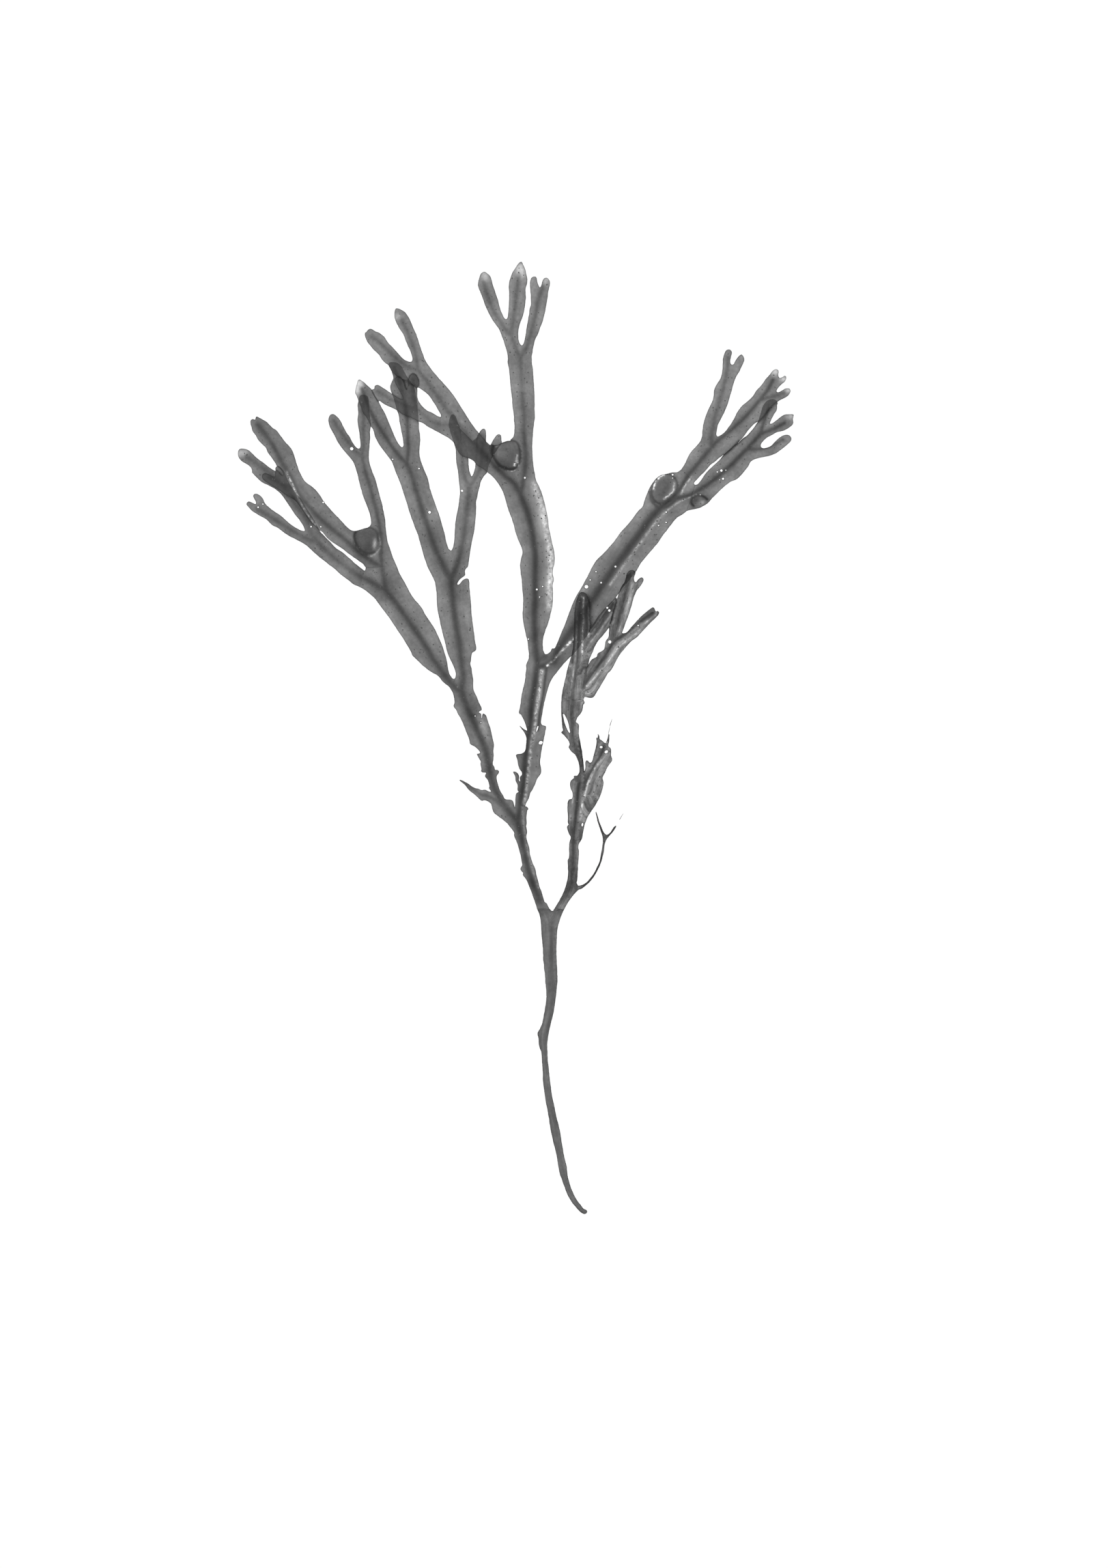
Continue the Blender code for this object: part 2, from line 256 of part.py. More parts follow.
RIGHT_BRANCH_EDGE = [
    (9.4, 24.4), (10.3, 25.2), (10.6, 26.0), (11.0, 25.9), (11.6, 26.2), (12.2, 27.5),
    (13.2, 30.0), (14.3, 32.6), (15.4, 35.5), (16.4, 38.2), (17.4, 40.5), (18.6, 42.6),
    (19.8, 44.7), (20.8, 46.5), (22.0, 48.9), (23.5, 51.5), (25.5, 53.5), (27.5, 55.7),
    (29.3, 57.8), (30.8, 60.0), (32.5, 61.8), (34.3, 64.0), (35.6, 65.8), (37.2, 67.5),
    (37.8, 69.3), (38.8, 71.9), (39.9, 74.0), (41.0, 75.5), (42.5, 76.6), (44.5, 77.1),
    (45.8, 77.4), (47.3, 77.5), (48.5, 78.3), (52.3, 74.9), (52.0, 74.3), (52.4, 73.8),
    (50.0, 66.4), (48.5, 65.2), (47.0, 64.3), (45.5, 62.5), (44.2, 60.8), (43.0, 59.3),
    (41.5, 57.0), (39.8, 55.0), (37.8, 52.7), (36.3, 50.8), (35.2, 48.8), (33.5, 46.5),
    (31.0, 43.5), (28.0, 39.5), (25.5, 36.5), (23.0, 33.0), (20.5, 29.5), (18.5, 26.5),
    (16.5, 24.1), (15.8, 23.6), (14.4, 22.1), (13.0, 20.5),
]

RIGHT_UPPER_ARM_EDGE = [
    (48.5, 78.3), (49.5, 79.8), (50.3, 81.5), (51.3, 83.3), (52.8, 85.0), (54.0, 86.4),
    (54.6, 88.0), (54.8, 90.0), (55.1, 92.0), (55.9, 94.5), (57.0, 97.0), (57.9, 99.0),
    (58.1, 100.5), (58.3, 102.0), (59.0, 103.4), (60.0, 105.0), (60.6, 107.0), (60.7, 109.5),
    (60.8, 111.0), (61.4, 112.8), (62.0, 113.4), (62.8, 113.4), (63.2, 112.6), (62.8, 111.2),
    (62.7, 109.8), (63.1, 109.0), (63.8, 109.2), (64.5, 110.3), (65.3, 111.4), (66.0, 112.0),
    (66.5, 111.6), (66.8, 110.5), (66.3, 109.2), (65.5, 107.5), (64.5, 105.8), (63.7, 103.8),
    (63.0, 101.2), (62.2, 98.5), (61.2, 95.8), (59.8, 93.0), (59.0, 91.2), (58.7, 89.5),
    (58.6, 88.4), (59.1, 87.9), (60.0, 88.3), (61.3, 89.3), (62.8, 91.3), (64.0, 93.2),
    (65.0, 95.2), (66.3, 96.9), (68.0, 98.3), (69.5, 99.8), (70.5, 101.4), (72.0, 103.0),
    (73.2, 104.7), (74.5, 106.2), (75.4, 107.3), (76.3, 107.7), (76.9, 107.2), (76.7, 106.0),
    (77.2, 105.1), (78.0, 105.3), (78.8, 105.8), (79.1, 105.3), (78.7, 104.3), (77.9, 103.6),
    (76.8, 102.5), (76.2, 101.6), (76.3, 101.0), (77.0, 100.9), (78.0, 101.4), (79.0, 102.0),
    (80.0, 102.0), (80.3, 101.3), (79.7, 100.2), (78.7, 99.5), (77.5, 98.9), (76.6, 98.3),
    (75.5, 97.6), (74.5, 96.7), (73.5, 95.5), (72.5, 94.2), (71.5, 93.0), (70.3, 92.2),
    (69.5, 91.6), (68.0, 90.0), (66.5, 88.0), (65.2, 86.5), (63.5, 85.0), (61.5, 83.3),
    (59.6, 82.0), (58.5, 81.0), (57.0, 79.9), (55.5, 78.2), (54.0, 76.7), (52.9, 75.5),
    (52.3, 74.9),
]

RIGHT_LOWER_ARM_EDGE = [
    (52.4, 73.8), (53.3, 74.0), (54.5, 75.5), (56.0, 77.6), (58.0, 79.5), (59.8, 81.2),
    (61.5, 83.2), (65.0, 86.0), (66.5, 87.4), (67.8, 88.3), (69.2, 89.9), (70.6, 91.7),
    (71.3, 93.2), (71.7, 94.5), (72.1, 96.0), (72.5, 97.0), (73.5, 98.3), (75.0, 98.8),
    (76.0, 98.6), (76.6, 98.0), (76.4, 97.2), (76.3, 96.0), (75.6, 94.8), (74.8, 93.3),
    (74.3, 92.0), (74.8, 91.7), (75.8, 92.3), (77.3, 93.5), (78.8, 94.4), (80.3, 94.5),
    (81.3, 94.4), (81.0, 93.2), (81.1, 91.9), (80.2, 91.0), (78.5, 90.0), (76.5, 89.5),
    (74.8, 88.6), (73.0, 87.5), (71.9, 86.3), (71.6, 85.2), (72.3, 84.6), (73.5, 84.7),
    (74.8, 85.3), (76.0, 86.5), (77.3, 87.7), (78.7, 88.4), (79.8, 88.4), (80.6, 87.8),
    (80.4, 86.8), (79.3, 85.7), (77.8, 84.5), (76.5, 83.5), (75.0, 82.8), (73.0, 82.3),
    (71.0, 81.9), (69.3, 81.3), (68.4, 80.4), (68.0, 79.5), (67.0, 78.2), (65.8, 76.8),
    (64.8, 75.8), (63.0, 75.0), (61.5, 74.0), (60.0, 72.7), (58.5, 71.2), (57.3, 70.0),
    (56.3, 68.8), (55.0, 67.9), (53.5, 67.2), (51.5, 66.8), (50.0, 66.4),
]

OLD_STEM_EDGE = [
    (11.1, -50.7), (12.0, -49.2), (13.0, -47.5), (14.0, -45.5), (14.6, -44.0), (15.0, -42.5),
    (15.4, -40.5), (15.4, -38.0), (15.3, -35.8), (15.7, -35.2), (15.8, -31.0), (16.2, -29.5),
    (16.1, -28.8), (15.6, -28.0), (15.1, -26.2), (15.6, -25.5), (15.3, -24.8), (15.4, -23.0),
    (15.3, -21.0), (15.4, -18.5), (16.5, -18.0), (16.8, -17.2), (16.7, -16.0), (16.2, -14.8),
    (16.0, -13.5), (16.3, -12.6), (17.2, -11.9), (17.1, -11.2), (18.0, -11.3), (18.6, -10.5),
    (18.8, -9.8), (18.7, -8.5), (18.5, -7.2), (18.1, -6.2), (17.5, -5.0), (16.8, -4.4),
    (16.1, -3.6), (15.6, -2.8), (15.9, -2.2), (15.7, -1.2), (14.8, 0.1), (14.1, 0.9),
    (13.4, 1.5), (14.0, 2.0), (13.8, 3.0), (13.6, 5.0), (13.4, 7.5), (13.4, 10.0),
    (13.5, 11.0), (19.85, 11.1), (19.7, 10.8), (20.1, 10.2), (19.6, 9.5), (19.4, 8.0),
    (18.7, 6.8), (17.9, 5.8), (17.5, 4.6), (17.9, 4.2), (18.4, 3.5), (18.3, 1.5),
    (18.5, 0.0), (18.9, -2.0), (19.3, -4.0), (19.6, -6.5), (19.8, -8.5), (20.0, -9.9),
    (20.2, -9.9), (20.5, -9.0), (20.5, -7.2), (20.9, -6.7), (21.3, -7.2), (21.8, -7.5),
    (22.4, -7.0), (23.0, -5.0), (23.5, -3.0), (23.8, -1.0), (23.6, -0.1), (24.0, -0.3),
    (24.3, 0.8), (24.5, -0.5), (25.0, -0.8), (25.8, -1.5), (26.6, -1.9), (27.0, -0.8),
    (27.3, 1.0), (27.25, -0.8), (27.0, -2.5), (27.8, -3.4), (27.8, -5.3), (28.1, -6.5),
    (27.8, -7.2), (26.8, -8.6), (26.0, -10.2), (25.3, -11.8), (25.6, -13.0), (25.5, -14.0),
    (25.0, -16.0), (24.3, -17.8), (23.3, -19.6), (22.2, -21.2), (21.2, -22.8), (20.5, -24.3),
    (19.9, -26.0), (19.6, -28.0), (19.2, -29.7), (18.4, -31.0), (18.2, -32.3), (18.4, -33.0),
    (18.3, -35.0), (18.1, -37.5), (18.0, -40.0), (17.9, -41.8), (17.7, -42.5), (18.2, -43.5),
    (18.4, -44.4), (17.6, -45.2), (16.5, -46.4), (15.2, -48.2), (14.2, -50.0),
]

OLD_LEFT_STRAP_EDGE = [
    (13.5, 11.0), (13.6, 12.5), (14.1, 15.0), (14.8, 18.0), (15.5, 21.0), (16.3, 23.5),
    (16.8, 26.0), (17.0, 28.0), (17.2, 32.0), (17.3, 36.0), (17.7, 39.5), (18.2, 41.0),
    (18.8, 42.2), (19.4, 42.4), (20.2, 42.2), (20.8, 41.5), (21.2, 40.0), (21.5, 38.0),
    (21.5, 35.0), (21.6, 33.0), (21.6, 30.8), (21.8, 31.5), (24.0, 35.0), (26.0, 37.5),
    (28.5, 40.0), (29.5, 40.8), (28.9, 37.5), (28.0, 34.5), (27.6, 33.2), (27.2, 32.4),
    (26.5, 31.3), (25.5, 30.0), (24.2, 28.5), (23.2, 27.0), (22.5, 25.3), (21.5, 23.0),
    (21.0, 20.7), (20.2, 12.0), (19.85, 11.1),
]

OLD_RIGHT_STRAP_EDGE = [
    (20.2, 12.0), (22.5, 11.8), (24.0, 14.0), (25.5, 16.5), (27.0, 19.0), (27.5, 19.3),
    (28.8, 21.5), (30.0, 23.8), (31.5, 25.7), (33.5, 28.0), (35.5, 29.5), (37.3, 31.5),
    (39.0, 33.3), (40.8, 35.0), (41.8, 36.3), (41.5, 36.9), (40.9, 36.7), (40.6, 37.3),
    (40.2, 38.0), (39.0, 37.2), (37.3, 35.8), (35.5, 34.0), (34.0, 32.3), (32.6, 30.7),
    (31.6, 30.3), (31.0, 30.5), (31.3, 31.5), (32.3, 34.2), (33.3, 37.0), (34.0, 39.5),
    (34.6, 41.5), (35.3, 43.0), (36.5, 44.5), (37.3, 46.0), (36.9, 46.7), (36.0, 46.2),
    (35.2, 45.3), (34.6, 45.6), (34.5, 46.8), (34.9, 48.2), (34.3, 48.8), (33.2, 48.6),
    (32.5, 47.5), (32.0, 45.5), (31.0, 44.0), (30.2, 42.0), (29.7, 40.3), (29.2, 38.8),
    (28.6, 37.0), (28.1, 35.0), (27.8, 33.5), (27.5, 32.3), (27.4, 31.0), (27.2, 29.2),
    (26.5, 28.3), (26.2, 27.0), (26.0, 25.8), (25.1, 25.1), (24.1, 24.5), (23.7, 23.5),
    (22.3, 22.7), (21.5, 21.5), (21.0, 20.7),
]

SIDE_THREAD_EDGE = [
    (18.4, -44.4), (19.2, -44.2), (20.5, -43.2), (21.8, -42.0), (23.0, -40.3), (24.3, -38.0),
    (25.1, -35.8), (25.7, -33.2), (26.0, -31.0), (26.6, -29.6), (27.2, -28.9), (28.3, -27.6),
    (29.4, -25.9), (28.8, -26.3), (27.8, -27.8), (27.0, -28.5), (26.5, -28.6), (25.8, -28.0),
    (25.0, -26.3), (24.3, -24.5), (23.5, -21.7), (24.0, -24.2), (24.7, -26.5), (25.3, -28.2),
    (25.6, -29.6), (25.5, -31.5), (25.1, -34.0), (24.6, -36.4), (23.8, -38.2), (22.9, -39.9),
    (21.8, -41.4), (20.8, -42.5), (19.8, -43.1), (18.9, -43.4), (18.2, -43.5),
]

# The straight cuts where two pieces meet.
CUTS = [
    ((6.3, -50.0), (9.8, -50.2)),
    ((11.1, -50.7), (14.2, -50.0)),
    ((-7.8, -14.9), (-3.5, -17.8)),
    ((0.0, -19.0), (2.6, -20.2)),
    ((-19.6, 15.1), (-18.7, 17.3)),
    ((-17.6, 17.4), (-12.9, 18.8)),
    ((-45.5, 44.1), (-44.4, 48.7)),
    ((-43.8, 49.8), (-35.0, 50.2)),
    ((-13.6, 53.5), (-18.6, 54.8)),
    ((-19.8, 55.2), (-26.6, 52.5)),
    ((4.0, 24.5), (7.9, 25.5)),
    ((9.4, 24.4), (13.0, 20.5)),
    ((-8.5, 77.8), (-7.6, 85.4)),
    ((-0.3, 89.0), (4.9, 89.0)),
    ((-22.0, 93.5), (-22.0, 89.0)),
    ((48.5, 78.3), (52.3, 74.9)),
    ((52.4, 73.8), (50.0, 66.4)),
    ((13.5, 11.0), (19.85, 11.1)),
    ((20.2, 12.0), (21.0, 20.7)),
    ((18.2, -43.5), (18.4, -44.4)),
]

# Midribs: half thickness at the start, half thickness at the end, and the line they follow.
STEM_RIBS = [
    (0.45, 0.75, [(20.2, -138.6), (18.4, -137.3), (16.3, -133.8), (14.7, -130.2), (13.8, -126.5)]),
    (0.75, 0.9, [(13.8, -126.5), (12.8, -121.5), (12.0, -116.5), (11.0, -111.5), (10.1, -107.5)]),
    (0.9, STIPE_HALF, [(10.1, -107.5), (9.3, -103.0), (8.9, -99.0), (8.6, -95.0), (8.3, -91.0),
                       (8.0, -88.0), (8.7, -84.5), (9.7, -80.5)]),
    (STIPE_HALF, STIPE_HALF, [(9.7, -80.5), (10.2, -77.0), (10.5, -73.0), (10.4, -68.5), (10.0, -63.5),
                              (9.9, -59.0)]),
    (STIPE_HALF, 0.95, [(9.9, -59.0), (10.0, -55.5), (9.6, -53.0), (8.0, -50.1), (7.6, -49.0)]),
    (0.95, 0.85, [(10.6, -54.5), (11.8, -52.5), (12.65, -50.35), (13.2, -49.0)]),
]
MIDDLE_STEM_RIBS = [
    (0.9, 0.85, [(8.4, -51.0), (8.0, -50.1), (6.6, -47.0), (4.4, -41.0), (2.6, -34.0), (1.6, -29.0),
                 (0.6, -25.0), (-0.6, -23.0)]),
    (0.85, 0.7, [(-0.6, -23.0), (-2.8, -20.6), (-4.6, -18.2), (-5.65, -16.35), (-6.2, -15.2)]),
    (0.85, 0.7, [(0.6, -25.0), (1.0, -22.0), (1.3, -19.6), (1.6, -18.4)]),
    (0.5, 0.25, [(-3.0, -20.5), (-7.6, -17.4), (-10.5, -16.5), (-14.0, -14.0)]),
]
LEFT_STEM_RIBS = [
    (0.75, 0.85, [(-4.9, -17.6), (-5.65, -16.35), (-6.9, -13.0), (-8.0, -8.0), (-9.0, -3.5), (-10.8, 1.0),
                  (-12.8, 5.5), (-14.6, 9.5), (-15.9, 13.5)]),
    (0.85, 0.7, [(-15.9, 13.5), (-17.6, 14.8), (-19.15, 16.2), (-20.2, 17.0)]),
    (0.85, 0.7, [(-15.9, 13.5), (-15.6, 16.0), (-15.25, 18.1), (-15.3, 19.5)]),
]
LEFT_BRANCH_RIBS = [
    (0.75, 0.85, [(-18.0, 15.2), (-19.15, 16.2), (-21.4, 19.0), (-24.2, 23.0), (-27.4, 28.0),
                  (-31.0, 33.0), (-35.0, 38.6), (-38.4, 43.2)]),
    (0.85, 0.75, [(-38.4, 43.2), (-41.5, 44.8), (-44.95, 46.4), (-46.5, 47.0)]),
    (0.85, 0.75, [(-38.4, 43.2), (-38.9, 46.5), (-39.4, 50.0), (-39.9, 51.5)]),
]
LEFT_LOWER_ARM_RIBS = [
    (0.75, 0.55, [(-43.5, 45.7), (-44.95, 46.4), (-49.0, 49.0), (-54.0, 53.0), (-58.0, 57.0),
                  (-61.0, 60.0)]),
    (0.5, 0.3, [(-58.0, 57.0), (-62.0, 59.3), (-66.0, 62.0), (-71.0, 65.5), (-76.0, 68.0)]),
    (0.5, 0.28, [(-58.0, 57.0), (-60.5, 60.5), (-62.2, 65.0), (-64.5, 68.5), (-68.0, 72.5),
                 (-74.0, 78.0), (-80.0, 83.3)]),
]
LEFT_UPPER_ARM_RIBS = [
    (0.75, 0.75, [(-39.1, 48.5), (-39.4, 50.0), (-40.3, 53.0)]),
    (0.7, 0.5, [(-46.5, 56.5), (-50.0, 58.5), (-53.5, 61.0), (-57.0, 64.5)]),
    (0.5, 0.28, [(-57.0, 64.5), (-60.0, 68.0), (-63.0, 71.8), (-65.0, 75.5), (-67.0, 80.0),
                 (-71.0, 85.5), (-76.0, 92.3)]),
    (0.32, 0.25, [(-64.5, 73.0), (-68.5, 74.0), (-73.2, 76.2)]),
    (0.75, 0.45, [(-40.4, 61.5), (-41.0, 66.0), (-42.5, 72.0), (-44.5, 78.0), (-45.0, 82.0)]),
    (0.42, 0.28, [(-45.0, 82.0), (-47.5, 84.0), (-50.5, 88.0), (-53.7, 93.4)]),
    (0.35, 0.25, [(-45.0, 82.0), (-44.4, 86.0), (-44.3, 92.0), (-44.6, 99.0)]),
]
INNER_LEFT_BRANCH_RIBS = [
    (0.75, 0.85, [(-15.2, 16.5), (-15.25, 18.1), (-16.0, 22.0), (-16.6, 27.0), (-17.4, 32.0),
                  (-18.2, 38.0), (-18.9, 44.0), (-19.0, 46.5)]),
    (0.85, 0.75, [(-19.0, 46.5), (-20.8, 49.5), (-23.2, 53.85), (-23.8, 55.5)]),
    (0.85, 0.75, [(-19.0, 46.5), (-17.6, 49.5), (-16.1, 54.15), (-15.8, 55.6)]),
]
INNER_LEFT_ARM_RIBS = [
    (0.75, 0.6, [(-22.4, 52.3), (-23.2, 53.85), (-26.0, 61.0), (-29.0, 70.0), (-30.8, 77.0),
                 (-31.8, 80.0)]),
    (0.55, 0.35, [(-31.8, 80.0), (-35.3, 84.5), (-38.6, 90.0), (-42.0, 96.0), (-45.4, 103.0)]),
    (0.5, 0.28, [(-31.8, 80.0), (-31.0, 84.0), (-31.2, 90.0), (-31.9, 95.0), (-33.0, 100.0),
                 (-34.2, 104.5), (-35.8, 108.5)]),
]
INNER_RIGHT_ARM_RIBS = [
    (0.75, 0.6, [(-16.5, 53.0), (-16.1, 54.15), (-15.1, 60.0), (-14.2, 68.0), (-13.6, 73.5)]),
    (0.5, 0.3, [(-13.6, 73.5), (-15.2, 77.0), (-15.8, 82.0)]),
    (0.5, 0.3, [(-13.6, 73.5), (-11.8, 76.0), (-10.2, 80.0)]),
]
CENTRE_STEM_RIBS = [
    (0.75, 0.85, [(1.2, -20.6), (1.3, -19.6), (2.6, -14.0), (4.0, -8.0), (5.2, -2.0), (5.6, 4.0),
                  (5.2, 10.0), (5.9, 16.0), (6.5, 20.5)]),
    (0.85, 0.75, [(6.5, 20.5), (6.0, 25.0), (5.8, 26.5)]),
    (0.85, 0.75, [(6.5, 20.5), (8.6, 21.0), (11.2, 22.45), (12.2, 23.4)]),
]
CENTRE_BRANCH_RIBS = [
    (0.75, 0.85, [(6.2, 23.5), (6.0, 25.0), (5.5, 32.0), (5.6, 40.0), (5.6, 48.0), (5.6, 54.0),
                  (4.8, 60.0), (3.4, 66.0), (1.4, 71.0)]),
    (0.85, 0.6, [(1.4, 71.0), (2.2, 77.5), (2.6, 83.0), (2.3, 89.0), (2.3, 90.5)]),
]
CENTRE_TOP_ARM_RIBS = [
    (0.6, 0.5, [(2.3, 87.5), (2.3, 89.0), (2.4, 94.0), (1.9, 102.0), (1.4, 108.0), (1.3, 111.0)]),
    (0.5, 0.4, [(1.3, 111.0), (0.0, 114.0), (-1.2, 117.5)]),
    (0.4, 0.28, [(-1.2, 117.5), (-3.8, 120.5), (-6.5, 125.0), (-8.5, 130.0), (-9.3, 134.8)]),
    (0.4, 0.28, [(-1.2, 117.5), (-0.9, 121.0), (-0.1, 127.0), (0.5, 132.0), (1.3, 137.5)]),
    (0.45, 0.28, [(1.3, 111.0), (2.8, 113.5), (4.3, 118.0), (5.7, 123.0), (6.6, 128.0), (8.6, 133.3)]),
    (0.3, 0.25, [(6.6, 128.0), (5.4, 133.6)]),
]
CENTRE_LEFT_ARM_RIBS = [
    (0.6, 0.6, [(-6.5, 80.6), (-8.05, 81.6), (-11.0, 84.6), (-14.5, 88.0), (-19.0, 94.0)]),
    (0.6, 0.5, [(-19.0, 94.0), (-23.0, 99.8), (-26.6, 104.8), (-28.6, 107.5)]),
    (0.45, 0.28, [(-28.6, 107.5), (-29.3, 112.0), (-31.2, 118.0), (-34.2, 124.2)]),
    (0.45, 0.28, [(-28.6, 107.5), (-32.5, 108.3), (-36.5, 111.0), (-40.0, 115.0), (-43.2, 118.0)]),
    (0.45, 0.4, [(-17.5, 91.8), (-20.0, 91.4), (-22.0, 91.3), (-23.5, 91.6)]),
]
CENTRE_SIDE_ARM_RIBS = [
    (0.4, 0.4, [(-20.5, 91.4), (-22.0, 91.3), (-25.5, 92.9), (-29.0, 96.0)]),
    (0.36, 0.25, [(-29.0, 96.0), (-32.5, 97.0), (-37.0, 99.0), (-41.3, 101.6)]),
    (0.3, 0.22, [(-29.0, 96.0), (-30.0, 100.0), (-30.0, 104.8)]),
]
RIGHT_BRANCH_RIBS = [
    (0.75, 0.8, [(10.0, 21.3), (11.2, 22.45), (14.5, 27.0), (17.5, 32.0), (21.0, 37.5), (24.5, 43.0),
                 (28.5, 48.5), (32.5, 54.0), (36.5, 59.5), (39.5, 64.0)]),
    (0.7, 0.6, [(45.8, 72.5), (48.5, 74.5), (50.4, 76.6), (51.5, 78.5)]),
    (0.7, 0.6, [(45.8, 71.0), (48.5, 70.3), (51.2, 70.1), (53.0, 71.6)]),
]
RIGHT_UPPER_ARM_RIBS = [
    (0.6, 0.5, [(49.4, 75.3), (50.4, 76.6), (53.5, 81.0), (57.0, 85.0)]),
    (0.45, 0.28, [(57.0, 85.0), (56.8, 88.5), (57.3, 92.0), (59.0, 97.0), (60.5, 102.0), (61.6, 107.0),
                  (62.0, 112.2)]),
    (0.3, 0.25, [(61.6, 106.0), (63.8, 107.5), (65.8, 110.8)]),
    (0.45, 0.28, [(57.0, 85.0), (60.5, 86.5), (64.0, 90.0), (67.5, 94.5), (71.5, 98.8), (74.0, 102.5),
                  (75.7, 106.0)]),
    (0.3, 0.25, [(71.5, 98.8), (75.5, 99.8), (79.0, 101.0)]),
]
RIGHT_LOWER_ARM_RIBS = [
    (0.6, 0.5, [(50.4, 69.9), (51.2, 70.1), (55.0, 72.6), (58.5, 75.6), (62.0, 78.8), (66.0, 82.5),
                (69.0, 85.5), (72.0, 88.8)]),
    (0.4, 0.28, [(72.0, 88.8), (76.0, 91.0), (80.0, 93.0)]),
    (0.36, 0.26, [(72.0, 88.8), (72.9, 92.5), (74.5, 97.3)]),
    (0.36, 0.26, [(68.0, 83.2), (71.5, 83.4), (75.5, 84.3), (79.3, 87.3)]),
]
OLD_STEM_RIBS = [
    (0.85, 0.85, [(12.2, -51.4), (12.65, -50.35), (14.6, -47.0), (16.3, -43.0), (16.9, -38.0),
                  (17.0, -33.0), (17.6, -29.0), (17.8, -24.0), (18.6, -18.0), (19.0, -13.0)]),
    (0.7, 0.3, [(19.0, -13.0), (21.5, -11.5), (24.0, -7.0), (26.2, -4.0)]),
    (0.6, 0.6, [(19.0, -13.0), (19.4, -10.0), (18.8, -6.0), (17.5, -1.0), (16.3, 4.0), (16.6, 11.05),
                (16.8, 12.5)]),
]
OLD_LEFT_STRAP_RIBS = [
    (0.6, 0.5, [(16.6, 9.5), (16.6, 11.05), (17.4, 15.0), (18.1, 20.0), (19.2, 26.0)]),
    (0.42, 0.28, [(19.2, 26.0), (19.4, 30.0), (19.5, 35.0), (19.6, 41.3)]),
    (0.34, 0.22, [(19.2, 26.0), (22.5, 29.5), (25.5, 34.0), (28.3, 38.8)]),
]
OLD_RIGHT_STRAP_RIBS = [
    (0.42, 0.4, [(19.6, 15.6), (20.6, 16.4), (23.2, 19.8), (26.0, 23.5), (28.8, 27.8)]),
    (0.38, 0.28, [(28.8, 27.8), (32.0, 29.3), (36.0, 33.2), (40.2, 36.5)]),
    (0.36, 0.26, [(28.8, 27.8), (29.6, 31.0), (31.0, 36.0), (32.5, 42.0), (33.7, 47.8)]),
]

# Height of the blade's mid-plane above the ground, given at a few places of a piece that rises.
LEFT_UPPER_ARM_LEVELS = [
    (-39.4, 50.0, 0.85), (-35.5, 50.2, 0.85), (-43.8, 49.9, 0.95), (-43.5, 57.2, 2.7), (-40.0, 59.0, 2.5),
    (-47.0, 56.0, 2.6), (-50.5, 58.0, 2.35), (-56.0, 62.5, 2.3), (-60.0, 67.0, 2.2), (-64.0, 72.0, 2.2),
    (-72.0, 75.5, 2.2), (-67.0, 80.0, 2.1), (-71.0, 85.5, 1.5), (-76.0, 92.0, 0.9), (-40.5, 66.0, 1.3),
    (-42.0, 71.0, 0.9), (-45.0, 80.0, 0.85), (-52.5, 91.5, 0.8), (-44.5, 88.0, 0.65), (-44.5, 97.0, 0.6),
]
INNER_LEFT_ARM_LEVELS = [
    (-23.2, 53.8, 0.85), (-29.0, 70.0, 0.85), (-32.0, 80.0, 0.85), (-31.2, 90.0, 0.85),
    (-33.0, 100.0, 0.85), (-35.8, 108.5, 0.85), (-36.0, 84.5, 1.0), (-39.0, 89.5, 1.5),
    (-42.5, 93.5, 1.8), (-44.0, 98.0, 1.75), (-45.6, 103.5, 1.3),
]
INNER_RIGHT_ARM_LEVELS = [
    (-16.1, 54.1, 0.85), (-14.2, 66.0, 0.85), (-13.6, 72.0, 0.8), (-9.5, 78.0, 0.55), (-6.5, 84.0, 0.45),
    (-15.8, 80.0, 0.6), (-17.5, 88.0, 0.5), (-10.0, 88.0, 0.5),
]
CENTRE_BRANCH_LEVELS = [
    (6.0, 25.0, 0.85), (5.6, 45.0, 0.85), (4.8, 60.0, 0.85), (3.0, 67.0, 1.0), (0.8, 72.0, 1.6),
    (5.6, 76.0, 1.7), (-5.6, 77.0, 2.6), (-8.5, 77.8, 2.95), (-8.1, 81.6, 3.0), (-7.6, 85.4, 2.95),
    (-2.8, 82.4, 3.1), (0.0, 79.0, 2.9), (3.5, 83.0, 2.1), (-1.0, 87.3, 2.3), (2.3, 89.0, 1.6),
]
CENTRE_TOP_ARM_LEVELS = [
    (2.3, 89.0, 1.6), (-0.3, 89.0, 1.75), (4.9, 89.0, 1.5), (2.2, 96.0, 0.95), (1.6, 106.0, 0.85),
    (-9.0, 134.0, 0.8), (1.2, 137.0, 0.8), (8.5, 133.0, 0.8), (1.3, 112.0, 0.85),
]
CENTRE_LEFT_ARM_LEVELS = [
    (-8.5, 77.8, 2.95), (-8.1, 81.6, 3.0), (-7.6, 85.4, 2.95), (-14.5, 86.5, 3.0), (-19.0, 94.0, 3.05),
    (-22.0, 89.2, 3.0), (-22.0, 91.3, 3.0), (-22.0, 93.4, 3.0), (-24.0, 101.0, 3.2), (-28.5, 107.5, 3.2),
    (-29.5, 103.0, 3.25), (-36.5, 109.0, 3.1), (-30.5, 114.0, 2.2), (-34.0, 123.5, 0.9),
    (-39.5, 113.5, 2.1), (-43.3, 118.0, 1.0),
]
CENTRE_SIDE_ARM_LEVELS = [
    (-22.0, 89.2, 3.0), (-22.0, 91.3, 3.0), (-22.0, 93.4, 3.0), (-26.0, 93.5, 2.65), (-31.0, 97.0, 2.3),
    (-30.0, 105.0, 2.25), (-35.0, 104.3, 2.2), (-36.5, 98.5, 2.4), (-41.0, 101.5, 2.6),
]
